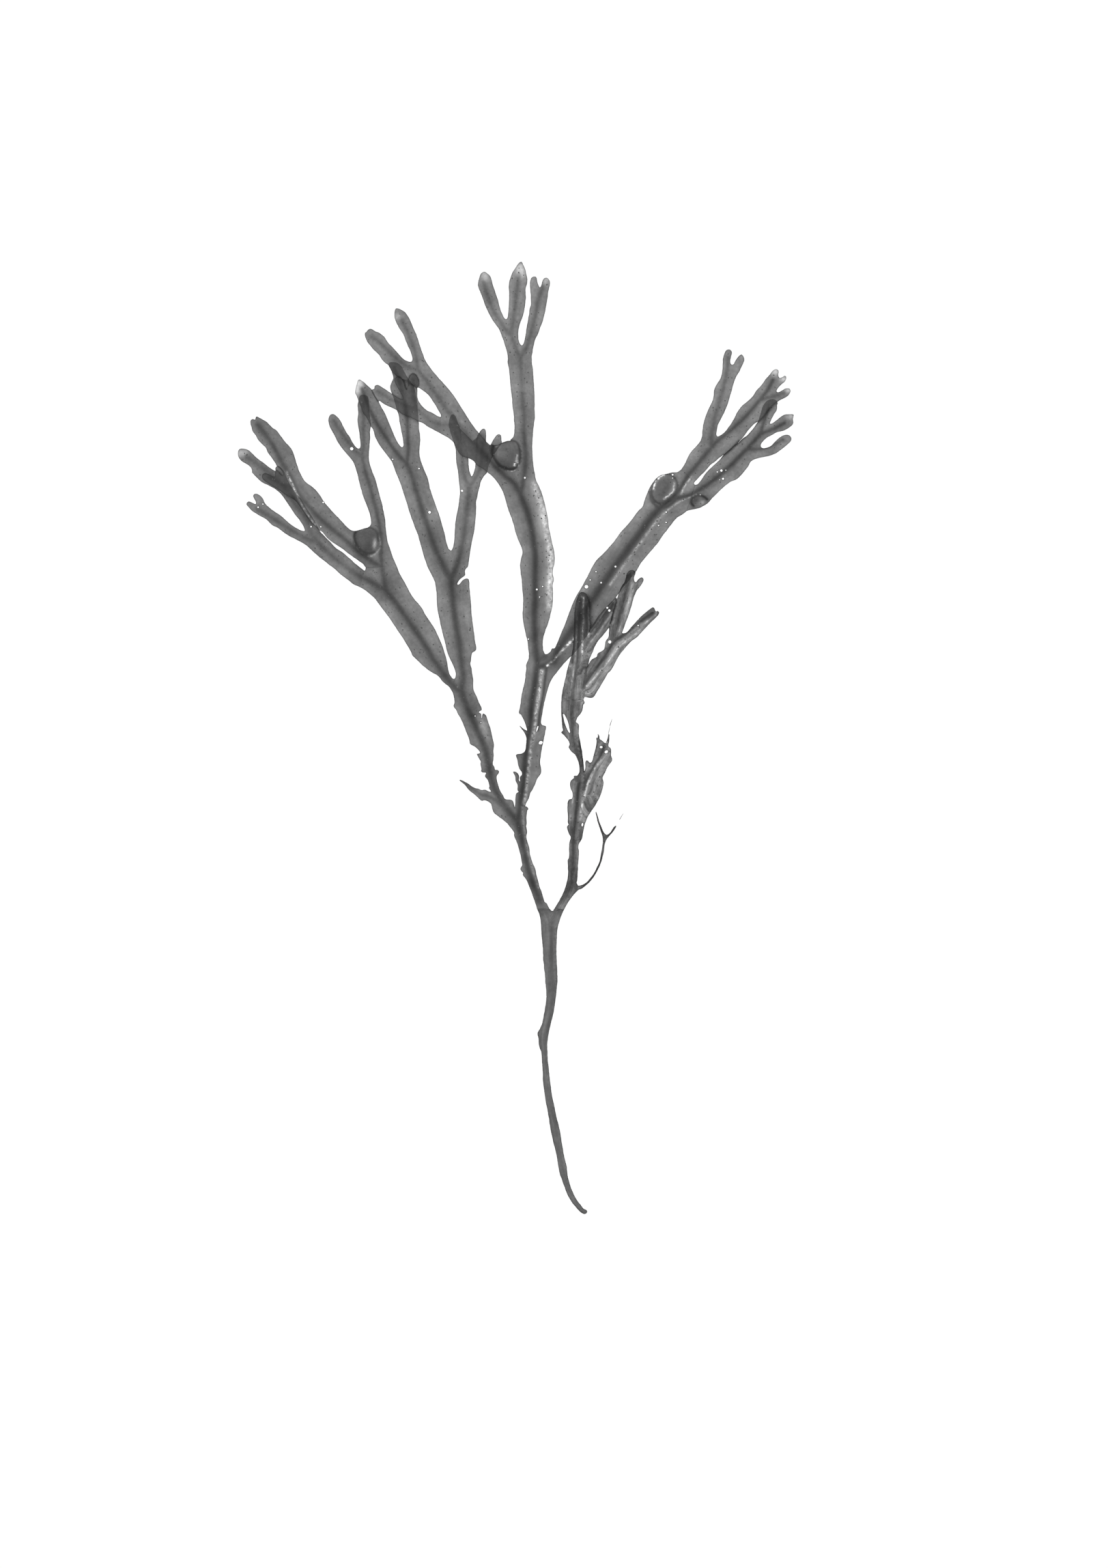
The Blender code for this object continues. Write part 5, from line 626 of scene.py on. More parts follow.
def edge_distance(points, starts, ends, far):
    """How far each point is from the nearest of these stretches of edge, up to a limit."""
    nearest = np.full(len(points), far)
    for start, end in zip(starts, ends):
        step = end - start
        close = (np.abs(points - start) < far + 1.0).all(axis=1)
        if not close.any():
            continue
        offset = points[close] - start
        share = np.clip((offset @ step) / max(float(step @ step), 1e-12), 0, 1)
        gap = np.linalg.norm(offset - share[:, None] * step, axis=1)
        nearest[close] = np.minimum(nearest[close], gap)
    return nearest


def patch_stops(points):
    """The soft patches added up, in stops."""
    total = np.zeros(len(points))
    for stops, half_long, half_wide, degrees, place in PATCHES_AND_GLINTS:
        turn = math.radians(degrees)
        offset = points - np.asarray(place)
        along = (offset[:, 0] * math.cos(turn) + offset[:, 1] * math.sin(turn)) / half_long
        across = (offset[:, 1] * math.cos(turn) - offset[:, 0] * math.sin(turn)) / half_wide
        total += stops * np.exp(-(along ** 2 + across ** 2) ** 1.5)
    return total


PLAN = {}


def plan():
    """Works out the fine outlines of every blade once: for each, its corners and which are on a cut."""
    if not PLAN:
        outlines = {name: plan_outline(name) for name in RIBS}
        on_cut = close_cuts(outlines)
        for name in RIBS:
            PLAN[name] = fine_outline(outlines[name], on_cut[name])
    return PLAN


def beside(name):
    """The piece itself and those it is joined to."""
    return [name] + [b if a == name else a for a, b in JOINED if name in (a, b)]


def frame_surface(name):
    """A tree for casting rays at a frame node, in millimetres."""
    mesh = frame["nodes"][name].data
    corners = [vertex.co / MM for vertex in mesh.vertices]
    return BVHTree.FromPolygons(corners, [tuple(polygon.vertices) for polygon in mesh.polygons])


def heights(surface, points):
    """The top and underside of the frame node over each point."""
    found = np.zeros((len(points), 2))
    for index, (x, y) in enumerate(points):
        top = surface.ray_cast(Vector((x, y, RAY_HEIGHT)), Vector((0, 0, -1)))[0]
        low = surface.ray_cast(Vector((x, y, -RAY_HEIGHT)), Vector((0, 0, 1)))[0]
        if top is None or low is None:
            near = surface.find_nearest(Vector((x, y, 1.0)))[0]
            found[index] = (near.z + 0.1, near.z - 0.1)
        else:
            found[index] = (top.z, low.z)
    return found


def settled(values, pairs, rounds):
    """Values evened out along the edges of the mesh."""
    share = np.bincount(pairs.ravel(), minlength=len(values)).astype(float)[:, None]
    for _ in range(rounds):
        total = np.zeros_like(values)
        np.add.at(total, pairs[:, 0], values[pairs[:, 1]])
        np.add.at(total, pairs[:, 1], values[pairs[:, 0]])
        values = (1 - EVEN_SHARE) * values + EVEN_SHARE * total / np.maximum(share, 1)
    return values


def torn_hole(half_long, half_wide, degrees, place):
    """The outline of a small torn hole."""
    turn = math.radians(degrees)
    ring = []
    for index in range(HOLE_CORNERS):
        angle = 2 * math.pi * index / HOLE_CORNERS
        ragged = 1 + 0.25 * noise.noise(Vector((place[0] + 3 * math.cos(angle), 3 * math.sin(angle), 1)))
        x = half_long * ragged * math.cos(angle)
        y = half_wide * ragged * math.sin(angle)
        ring.append((place[0] + x * math.cos(turn) - y * math.sin(turn),
                     place[1] + x * math.sin(turn) + y * math.cos(turn)))
    return np.asarray(ring)


def flat_net(name, shape):
    """The blade as a flat net of small triangles, and how many layers lie under each."""
    loop, _ = plan()[name]
    loops = [loop] + [torn_hole(*hole) for hole in HOLES.get(name, [])]
    holes = range(1, len(loops))
    loops += [plan()[other][0] for other in UNDERLAY_SHADE.get(name, [])]
    full = range(len(holes) + 1, len(loops))
    loops += [np.asarray(ring) for ring in HALF_SHADES.get(name, [])]
    points = np.vstack(loops)
    faces = []
    count = 0
    for ring in loops:
        faces.append(list(range(count, count + len(ring))))
        count += len(ring)
    starts = [points[face] for face in faces]
    ends = [np.roll(points[face], -1, axis=0) for face in faces]
    edges = []
    lines = RIBS[name] + PALE_LINES_AND_HIGHLIGHTS.get(name, []) + DARK_EDGES_AND_SHADE.get(name, [])
    for _, _, line in lines:
        fine = smooth_run(line, NET_LINE_STEP, 0)
        room = edge_distance(fine, loop, np.roll(loop, -1, axis=0), EDGE_REACH)
        kept = inside(fine, loop) & (room > LINE_ROOM)
        points = np.vstack([points, fine])
        for index in range(len(fine) - 1):
            if kept[index] and kept[index + 1]:
                edges.append((count + index, count + index + 1))
                starts.append(fine[index:index + 1])
                ends.append(fine[index + 1:index + 2])
        count += len(fine)
    low = loop.min(axis=0)
    high = loop.max(axis=0)
    rows = np.arange(low[1], high[1], shape.grid_step * 0.866)
    columns = np.arange(low[0], high[0], shape.grid_step)
    grid_x, grid_y = np.meshgrid(columns, rows)
    grid_x = grid_x + (np.arange(len(rows)) % 2)[:, None] * shape.grid_step / 2
    grid = np.column_stack([grid_x.ravel(), grid_y.ravel()])
    grid = grid[inside(grid, loop)]
    room = edge_distance(grid, np.vstack(starts), np.vstack(ends), EDGE_REACH)
    grid = grid[room > 0.6 * shape.grid_step]
    points = np.vstack([points, grid])
    placed, _, triangles, _, _, within = delaunay_2d_cdt(
        [Vector(point) for point in points], edges, faces, 1, 1e-4)
    places = np.asarray([tuple(point) for point in placed])
    net = []
    layers = []
    for triangle, sources in zip(triangles, within):
        if 0 not in sources or any(source in holes for source in sources):
            continue
        net.append(triangle)
        # Each strap lying underneath adds painted shade to the face; a hidden crumpled tip adds part of
        # it.
        whole = sum(source in full for source in sources)
        layers.append(whole or HALF_SHADE * (len(sources) > 1))
    net = np.asarray(net)
    a, b, c = (places[net[:, corner]] for corner in range(3))
    turned = (b[:, 0] - a[:, 0]) * (c[:, 1] - a[:, 1]) < (b[:, 1] - a[:, 1]) * (c[:, 0] - a[:, 0])
    net[turned] = net[turned][:, ::-1]
    used, flat = np.unique(net, return_inverse=True)
    return places[used], flat.reshape(-1, 3), np.asarray(layers, float)


def note(mesh, name, domain, values):
    """Stores one number for each vertex or face of the mesh."""
    layer = mesh.attributes.new(name, "FLOAT", domain)
    layer.data.foreach_set("value", np.asarray(values, dtype=np.float32))


def new_object(name, data):
    """A new object with this mesh, light or lens, in the scene."""
    item = bpy.data.objects.new(name, data)
    bpy.context.scene.collection.objects.link(item)
    return item


def plain_mesh(name, source):
    """What an object's curve or nodes come to, as a plain mesh; the object itself is removed."""
    bpy.context.view_layer.update()
    mesh = bpy.data.meshes.new_from_object(source.evaluated_get(bpy.context.evaluated_depsgraph_get()))
    bpy.data.objects.remove(source)
    mesh.name = name
    return mesh


def build_blade(name, shape, material):
    """One piece of the frond: a thin blade with a soft rim, ribs and any bladder it carries."""
    places, net, layers = flat_net(name, shape)
    count = len(places)
    pairs = np.unique(np.sort(np.vstack([net[:, [0, 1]], net[:, [1, 2]], net[:, [2, 0]]]), axis=1),
                      axis=0)
    found = heights(frame_surface(name), places)
    middle = settled(found.mean(axis=1)[:, None], pairs, LEVEL_ROUNDS)[:, 0]
    half = settled(((found[:, 0] - found[:, 1]) / 2)[:, None], pairs, THICKNESS_ROUNDS)[:, 0]
    margins = []
    for other in beside(name):
        loop, fixed = plan()[other]
        free = ~(fixed & np.roll(fixed, -1))
        margins.append((loop[free], np.roll(loop, -1, axis=0)[free]))
    for hole in HOLES.get(name, []):
        ring = torn_hole(*hole)
        margins.append((ring, np.roll(ring, -1, axis=0)))
    starts, ends = (np.vstack(side) for side in zip(*margins))
    margin = edge_distance(places, starts, ends, MARGIN_LIMIT)
    rise = np.clip(margin / RIM_WIDTH, 0, 1)
    half = shape.rim_half + (half - shape.rim_half) * np.sqrt(1 - (1 - rise) ** 2)
    half = np.maximum(half, shape.rim_half)
    ripple = [noise.noise(Vector((x * RIPPLE_RATE, y * RIPPLE_RATE, 7.0))) for x, y in places]
    middle = middle + RIPPLE * np.asarray(ripple)
    top = np.minimum(middle + half, CAD_BOX[1][2] / MM)
    low = np.maximum(middle - half, 0.0)
    top = np.maximum(top, low + 2 * shape.rim_half)
    spots = np.vstack([np.column_stack([places, top]), np.column_stack([places, low])]) * MM
    ways = {}
    for triangle in net:
        for corner in range(3):
            ways[(int(triangle[corner]), int(triangle[(corner + 1) % 3]))] = True
    walls = [(b, a, a + count, b + count) for a, b in ways if (b, a) not in ways]
    faces = [tuple(int(corner) for corner in triangle) for triangle in net]
    faces += [tuple(int(corner) + count for corner in triangle[::-1]) for triangle in net]
    mesh = bpy.data.meshes.new(name + "_blade")
    mesh.from_pydata(spots.tolist(), [], faces + walls)
    mesh.materials.append(material)
    # The dark edges include painted shade: the heavy left side of the bladders' rims, and the band on the
    # left lower arm under the upper one.
    own = RIBS[name] + DARK_EDGES_AND_SHADE.get(name, [])
    lines = own + [line for other in beside(name)[1:] for line in RIBS[other]]
    reach, force, weave = line_field(places, lines)
    # The pale lines include the painted highlights on and around the bladders.
    pale_reach, pale_force, _ = line_field(
        places, [line for other in beside(name) for line in PALE_LINES_AND_HIGHLIGHTS.get(other, [])])
    # The ribs of straps lying underneath are painted on as shade too.
    under = [line for other in UNDERLAY_SHADE.get(name, []) for line in RIBS[other]]
    under_reach, under_force, _ = line_field(places, under)
    numbers = {
        "reach": reach, "force": force * RIB_DEPTH, "pale_reach": pale_reach, "pale_force": pale_force,
        "under_reach": under_reach, "under_force": under_force, "margin": margin,
        "patch": patch_stops(places), "across": weave[:, 0], "along": weave[:, 1],
    }
    for key, values in numbers.items():
        note(mesh, key, "POINT", np.concatenate([values, values]))
    note(mesh, "under", "FACE", np.concatenate([layers, layers, np.zeros(len(walls))]))
    mesh.shade_smooth()
    mesh.set_sharp_from_angle(angle=math.radians(SHARP_DEGREES))
    mesh.update()
    piece = new_object(name + "_blade", mesh)
    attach(piece, "root")
    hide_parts(name)
    return piece


def hex_colour(code):
    """An sRGB hex colour as linear red, green, blue and opacity."""
    channels = [int(code[index:index + 2], 16) / 255 for index in (1, 3, 5)]
    linear = [value / 12.92 if value <= 0.04045 else ((value + 0.055) / 1.055) ** 2.4
              for value in channels]
    return linear + [1.0]


def add(tree, kind, inputs=None, **settings):
    """Adds a node with its settings, and sets or links its inputs; a node stands for its first output."""
    node = tree.nodes.new(kind)
    for key, value in settings.items():
        setattr(node, key, value)
    for key, value in (inputs or {}).items():
        value = value.outputs[0] if isinstance(value, bpy.types.Node) else value
        if isinstance(value, bpy.types.NodeSocket):
            tree.links.new(value, node.inputs[key])
        else:
            node.inputs[key].default_value = value
    return node


def empty_material(name):
    """A new material without any nodes, and its node tree."""
    material = bpy.data.materials.new(name)
    material.use_nodes = True
    material.node_tree.nodes.clear()
    return material, material.node_tree


def soft_line_group():
    """A line that fades away from its middle: a sharp core and a wide, faint shoulder."""
    group = bpy.data.node_groups.get("Soft line")
    if group:
        return group
    group = bpy.data.node_groups.new("Soft line", "ShaderNodeTree")
    for label in ("Reach", "Force", "Shoulder"):
        group.interface.new_socket(label, in_out="INPUT", socket_type="NodeSocketFloat")
    group.interface.new_socket("Stops", in_out="OUTPUT", socket_type="NodeSocketFloat")
    start = add(group, "NodeGroupInput").outputs
    square = add(group, "ShaderNodeMath", {0: start["Reach"], 1: start["Reach"]}, operation="MULTIPLY")
    fall = add(group, "ShaderNodeMath", {0: square, 1: -1.0}, operation="MULTIPLY")
    core = add(group, "ShaderNodeMath", {0: fall}, operation="EXPONENT")
    wide = add(group, "ShaderNodeMath", {0: fall, 1: SHOULDER_FALL}, operation="MULTIPLY")
    glow = add(group, "ShaderNodeMath", {0: wide}, operation="EXPONENT")
    total = add(group, "ShaderNodeMath", {0: glow, 1: start["Shoulder"], 2: core},
                operation="MULTIPLY_ADD")
    stops = add(group, "ShaderNodeMath", {0: total, 1: start["Force"]}, operation="MULTIPLY")
    add(group, "NodeGroupOutput", {"Stops": stops})
    return group


def frond_material(name, colour, clouds, grain, streaks, edge_stops, shoulder, wrinkle, roughness):
    """A layer of seaweed that lets light through: each stop of thickness halves the light. The surface
    itself is opaque, so the shade of straps lying underneath and the bladders' highlights are painted
    into its colour.
    """
    material, tree = empty_material(name)
    read = {}
    for key in ("reach", "force", "pale_reach", "pale_force", "under_reach", "under_force", "margin",
                "patch", "across", "along", "under"):
        read[key] = add(tree, "ShaderNodeAttribute", attribute_name=key).outputs["Fac"]
    edge = add(tree, "ShaderNodeMath", {0: read["margin"], 1: 1 / MARGIN_BAND}, operation="MULTIPLY")
    rib, pale, below, rim = (
        add(tree, "ShaderNodeGroup", {"Reach": reach, "Force": force, "Shoulder": width},
            node_tree=soft_line_group())
        for reach, force, width in (
            (read["reach"], read["force"], shoulder),
            (read["pale_reach"], read["pale_force"], PALE_SHOULDER),
            (read["under_reach"], read["under_force"], UNDER_SHOULDER),
            (edge, edge_stops, 0.0)))
    place = add(tree, "ShaderNodeTexCoord").outputs["Object"]
    woven = add(tree, "ShaderNodeCombineXYZ", {0: read["across"], 1: read["along"]})
    stretched = add(tree, "ShaderNodeMapping", {"Vector": woven, "Scale": (0.8, 0.1, 1.0)})
    # Thickness varies over wide patches and small cells; fibres run along the strap.
    cloud = add(tree, "ShaderNodeTexNoise",
                {"Vector": place, "Scale": 1 / (CLOUD_SIZE * MM), "Detail": 3.0, "Roughness": 0.6})
    cells = add(tree, "ShaderNodeTexNoise",
                {"Vector": place, "Scale": 1 / (CELL_SIZE * MM), "Detail": 2.0, "Roughness": 0.6})
    fibre = add(tree, "ShaderNodeTexNoise",
                {"Vector": stretched, "Scale": 1.0, "Detail": 3.0, "Roughness": 0.6, "Distortion": 0.4})
    stops = [read["patch"]]
    for source, depth in ((cloud, clouds), (cells, grain), (fibre, streaks)):
        stops.append(add(tree, "ShaderNodeMath", {0: source, 1: 3 * depth, 2: -1.5 * depth},
                         operation="MULTIPLY_ADD"))
    # A strap that lies under this one is painted in as shade, with its own rib.
    layer = add(tree, "ShaderNodeMath", {0: below, 1: OVERLAP_SHADE_STOPS}, operation="ADD")
    stops += [rim, add(tree, "ShaderNodeMath", {0: layer, 1: read["under"]}, operation="MULTIPLY")]
    total = rib
    for part in stops:
        total = add(tree, "ShaderNodeMath", {0: total, 1: part}, operation="ADD")
    # The pale lines are crusty, so they break up into grains of about a millimetre; the painted
    # highlights among them break up the same way.
    grains = add(tree, "ShaderNodeMath", {0: cells, 1: PALE_GRAIN_RISE, 2: PALE_GRAIN_START},
                 operation="MULTIPLY_ADD")
    pale_and_highlight = add(tree, "ShaderNodeMath", {0: grains, 1: pale}, operation="MULTIPLY")
    total = add(tree, "ShaderNodeMath", {0: total, 1: pale_and_highlight}, operation="SUBTRACT")
    less = add(tree, "ShaderNodeMath", {0: total, 1: -1.0}, operation="MULTIPLY")
    passed = add(tree, "ShaderNodeMath", {0: 2.0, 1: less}, operation="POWER")
    held = add(tree, "ShaderNodeMath", {0: passed, 1: BRIGHTEST}, operation="MINIMUM")
    base = add(tree, "ShaderNodeVectorMath", {0: tuple(colour)[:3], "Scale": held}, operation="SCALE")
    height = add(tree, "ShaderNodeMath", {0: fibre, 1: cells}, operation="ADD")
    bump = add(tree, "ShaderNodeBump",
               {"Height": height, "Strength": wrinkle, "Distance": WRINKLE_DEPTH * MM})
    shader = add(tree, "ShaderNodeBsdfPrincipled", {
        "Base Color": base, "Roughness": roughness, "IOR": 1.35, "Specular IOR Level": 0.3,
        "Normal": bump})
    add(tree, "ShaderNodeOutputMaterial", {"Surface": shader})
    return material


def plain_material(name, colour, roughness):
    """One even finish with a faint unevenness, for grains too small to show more."""
    material, tree = empty_material(name)
    place = add(tree, "ShaderNodeTexCoord").outputs["Object"]
    speckle = add(tree, "ShaderNodeTexNoise",
                  {"Vector": place, "Scale": 1 / (GRAIN_SIZE * MM), "Detail": 1.0})
    shade = add(tree, "ShaderNodeMapRange", {"Value": speckle, "To Min": 0.75, "To Max": 1.15})
    base = add(tree, "ShaderNodeVectorMath", {0: tuple(colour)[:3], "Scale": shade}, operation="SCALE")
    shader = add(tree, "ShaderNodeBsdfPrincipled",
                 {"Base Color": base, "Roughness": roughness, "IOR": 1.4})
    add(tree, "ShaderNodeOutputMaterial", {"Surface": shader})
    return material


def fleck_tree(material):
    """Scatters flat dark grains over the surface it is given."""
    tree = bpy.data.node_groups.new("Flecks", "GeometryNodeTree")
    for label, kind in (("Geometry", "Geometry"), ("Flecks per square metre", "Float"),
                        ("Half width", "Float"), ("Seed", "Int")):
        tree.interface.new_socket(label, in_out="INPUT", socket_type="NodeSocket" + kind)
    tree.interface.new_socket("Geometry", in_out="OUTPUT", socket_type="NodeSocketGeometry")
    start = add(tree, "NodeGroupInput").outputs
    spread = add(tree, "GeometryNodeDistributePointsOnFaces", {
        "Mesh": start["Geometry"], "Density": start["Flecks per square metre"], "Seed": start["Seed"]})
    grain = add(tree, "GeometryNodeMeshIcoSphere", {"Radius": start["Half width"], "Subdivisions": 1})
    size = add(tree, "FunctionNodeRandomValue", {"Min": (0.45, 0.45, 0.12), "Max": (1.5, 1.2, 0.2)},
               data_type="FLOAT_VECTOR")
    placed = add(tree, "GeometryNodeInstanceOnPoints", {
        "Points": spread.outputs["Points"], "Instance": grain.outputs["Mesh"],
        "Rotation": spread.outputs["Rotation"], "Scale": size.outputs["Value"]})
    real = add(tree, "GeometryNodeRealizeInstances", {"Geometry": placed.outputs["Instances"]})
    done = add(tree, "GeometryNodeSetMaterial", {"Geometry": real.outputs["Geometry"],
                                                 "Material": material})
    add(tree, "NodeGroupOutput", {"Geometry": done.outputs["Geometry"]})
    return tree


def pin_tree(white, dark):
    """A pale speck of painted light with a dark ring of painted shade on every point; its half width is
    the point's size attribute.
    """
    tree = bpy.data.node_groups.new("Pin specks", "GeometryNodeTree")
    tree.interface.new_socket("Geometry", in_out="INPUT", socket_type="NodeSocketGeometry")
    tree.interface.new_socket("Ring width", in_out="INPUT", socket_type="NodeSocketFloat")
    tree.interface.new_socket("Geometry", in_out="OUTPUT", socket_type="NodeSocketGeometry")
    start = add(tree, "NodeGroupInput").outputs
    size = add(tree, "GeometryNodeInputNamedAttribute", {"Name": "size"},
               data_type="FLOAT").outputs["Attribute"]
    wide = add(tree, "ShaderNodeMath", {0: size, 1: start["Ring width"]}, operation="ADD")
    grain = add(tree, "GeometryNodeMeshIcoSphere", {"Radius": 1.0, "Subdivisions": 2})
    parts = []
    for reach, flat, material in ((size, 0.5, white), (wide, 0.28, dark)):
        thin = add(tree, "ShaderNodeMath", {0: reach, 1: flat}, operation="MULTIPLY")
        scale = add(tree, "ShaderNodeCombineXYZ", {0: reach, 1: reach, 2: thin})
        placed = add(tree, "GeometryNodeInstanceOnPoints", {
            "Points": start["Geometry"], "Instance": grain.outputs["Mesh"], "Scale": scale})
        real = add(tree, "GeometryNodeRealizeInstances", {"Geometry": placed.outputs["Instances"]})
        done = add(tree, "GeometryNodeSetMaterial", {"Geometry": real.outputs["Geometry"],
                                                     "Material": material})
        parts.append(done.outputs["Geometry"])
    joined = add(tree, "GeometryNodeJoinGeometry")
    for part in parts:
        tree.links.new(part, joined.inputs["Geometry"])
    add(tree, "NodeGroupOutput", {"Geometry": joined.outputs["Geometry"]})
    return tree


def grown(name, mesh, tree, values):
    """What a node tree makes of a mesh, as a plain piece."""
    source = new_object(name + "_source", mesh)
    nodes = source.modifiers.new("Nodes", "NODES")
    nodes.node_group = tree
    for socket in tree.interface.items_tree:
        if socket.in_out == "INPUT" and socket.name in values:
            nodes[socket.identifier] = values[socket.name]
    piece = new_object(name, plain_mesh(name, source))
    if not piece.data.polygons:
        raise RuntimeError(name + " came out empty")
    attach(piece, "root")
    return piece


def upper_skin(pieces):
    """The upward faces of these blades, away from their rims, as one mesh."""
    spots = []
    faces = []
    for piece in pieces:
        mesh = piece.data
        margin = mesh.attributes["margin"].data
        base = len(spots)
        spots += [tuple(vertex.co + Vector((0, 0, FLECK_LIFT * MM))) for vertex in mesh.vertices]
        for polygon in mesh.polygons:
            room = min(margin[corner].value for corner in polygon.vertices)
            if polygon.normal.z > 0.5 and room > FLECK_ROOM:
                faces.append(tuple(base + corner for corner in polygon.vertices))
    mesh = bpy.data.meshes.new("upper_skin")
    mesh.from_pydata(spots, [], faces)
    return mesh


class WrackShape(bpy.types.PropertyGroup):
    """Sizes of the frond's pieces, in millimetres."""

    grid_step: bpy.props.FloatProperty(
        name="Net step", description="Spacing of the blade's net in millimetres", default=GRID_STEP)
    rim_half: bpy.props.FloatProperty(
        name="Rim half thickness", description="Half thickness at the blade's edge in millimetres",
        default=RIM_HALF)
    fleck_half: bpy.props.FloatProperty(
        name="Fleck half width", description="Half width of a dark fleck in millimetres",
        default=FLECK_HALF)
    flecks: bpy.props.IntProperty(
        name="Flecks per square metre", description="How thickly the dark flecks lie",
        default=FLECK_COUNT)


class WrackLook(bpy.types.PropertyGroup):
    """Colours of the frond and of the light table."""

    blade: bpy.props.FloatVectorProperty(
        name="Blade", description="Young blade, between its ribs", subtype="COLOR", size=4,
        default=hex_colour(BLADE_GREY))
    stipe: bpy.props.FloatVectorProperty(
        name="Stipe", description="The leathery stalk", subtype="COLOR", size=4,
        default=hex_colour(STIPE_GREY))
    worn: bpy.props.FloatVectorProperty(
        name="Worn blade", description="The old, wrinkled branch", subtype="COLOR", size=4,
        default=hex_colour(WORN_GREY))
    table_glow: bpy.props.FloatProperty(
        name="Table glow", description="How brightly the light table glows", default=1.0)


def blade_finish(context):
    """Fresh blade of bladder wrack, pressed wet: cloudy, see-through grey with a faint satin."""
    found = bpy.data.materials.get("Bladder wrack blade")
    return found or frond_material("Bladder wrack blade", context.scene.wrack_look.blade, clouds=0.6,
                                   grain=0.3, streaks=0.2, edge_stops=1.0, shoulder=0.42, wrinkle=0.12,
                                   roughness=0.55)


def worn_finish(context):
    """Old blade, dried thin and folded: dark and pale streaks run along it."""
    found = bpy.data.materials.get("Worn wrack blade")
    return found or frond_material("Worn wrack blade", context.scene.wrack_look.worn, clouds=0.8,
                                   grain=0.5, streaks=1.7, edge_stops=1.3, shoulder=0.3, wrinkle=0.5,
                                   roughness=0.65)


def stipe_finish(context):
    """Stipe: solid, leathery tissue that lets little light through, streaked along its length."""
    found = bpy.data.materials.get("Wrack stipe")
    return found or frond_material("Wrack stipe", context.scene.wrack_look.stipe, clouds=0.4,
                                   grain=0.3, streaks=0.7, edge_stops=1.0, shoulder=0.8, wrinkle=0.4,
                                   roughness=0.5)


class WRACK_OT_stipe(bpy.types.Operator):
    """Builds the stipe"""

    bl_idname = "wrack.stipe"
    bl_label = "Stipe"

    def execute(self, context):
        build_blade("stem", context.scene.wrack_shape, stipe_finish(context))
        return {"FINISHED"}


class WRACK_OT_left_blades(bpy.types.Operator):
    """Builds the middle of the stem and the straps on the left, with their bladder"""

    bl_idname = "wrack.left_blades"
    bl_label = "Left blades"

    def execute(self, context):
        for name in ("middle_stem", "left_stem", "left_branch", "left_lower_arm", "left_upper_arm",
                     "inner_left_branch", "inner_left_arm", "inner_right_arm"):
            build_blade(name, context.scene.wrack_shape, blade_finish(context))
        return {"FINISHED"}


class WRACK_OT_centre_blades(bpy.types.Operator):
    """Builds the straps in the middle, with their bladder"""

    bl_idname = "wrack.centre_blades"
    bl_label = "Centre blades"

    def execute(self, context):
        for name in ("centre_stem", "centre_branch", "centre_top_arm", "centre_left_arm",
                     "centre_side_arm"):
            build_blade(name, context.scene.wrack_shape, blade_finish(context))
        return {"FINISHED"}


class WRACK_OT_right_blades(bpy.types.Operator):
    """Builds the straps on the right, with their two bladders"""

    bl_idname = "wrack.right_blades"
    bl_label = "Right blades"

    def execute(self, context):
        for name in ("right_branch", "right_upper_arm", "right_lower_arm"):
            build_blade(name, context.scene.wrack_shape, blade_finish(context))
        return {"FINISHED"}


class WRACK_OT_old_branch(bpy.types.Operator):
    """Builds the worn branch that lies over the right one, and its loose thread"""

    bl_idname = "wrack.old_branch"
    bl_label = "Old branch"

    def execute(self, context):
        for name in ("old_stem", "old_left_strap", "old_right_strap", "side_thread"):
            build_blade(name, context.scene.wrack_shape, worn_finish(context))
        return {"FINISHED"}


class WRACK_OT_filaments(bpy.types.Operator):
    """Lays the hair-thin loose threads along their lines"""

    bl_idname = "wrack.filaments"
    bl_label = "Filaments"

    def execute(self, context):
        curve = bpy.data.curves.new("filament_lines", "CURVE")
        curve.dimensions = "3D"
        for half, line in FILAMENTS:
            fine = smooth_run(line, THREAD_STEP, 0)
            spline = curve.splines.new("POLY")
            spline.points.add(len(fine) - 1)
            for index, (x, y) in enumerate(fine):
                taper = 1 - THREAD_TAPER * (index / (len(fine) - 1)) ** 2
                spline.points[index].co = (x * MM, y * MM, THREAD_LEVEL * MM, 1.0)
                spline.points[index].radius = half * taper
        curve.bevel_depth = MM
        curve.bevel_resolution = 1
        curve.use_fill_caps = True
        mesh = plain_mesh("filaments", new_object("filament_lines", curve))
        mesh.materials.clear()
        # Thread of old blade, dried: dark and dull.
        mesh.materials.append(plain_material("Dried wrack thread", hex_colour("#4C4C4C"), 0.6))
        piece = new_object("filaments", mesh)
        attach(piece, "root")
        return {"FINISHED"}


class WRACK_OT_flecks(bpy.types.Operator):
    """Scatters the small dark flecks over the blades"""

    bl_idname = "wrack.flecks"
    bl_label = "Flecks"

    def execute(self, context):
        shape = context.scene.wrack_shape
        blades = [item for item in context.scene.objects
                  if item.name.endswith("_blade") and not item.name.startswith("stem")]
        # Small knots of thick tissue: darker than the blade, and dull.
        dark = plain_material("Wrack fleck", hex_colour("#444444"), 0.6)
        grown("flecks", upper_skin(blades), fleck_tree(dark), {
            "Flecks per square metre": float(shape.flecks), "Half width": shape.fleck_half * MM,
            "Seed": FLECK_SEED})
        return {"FINISHED"}


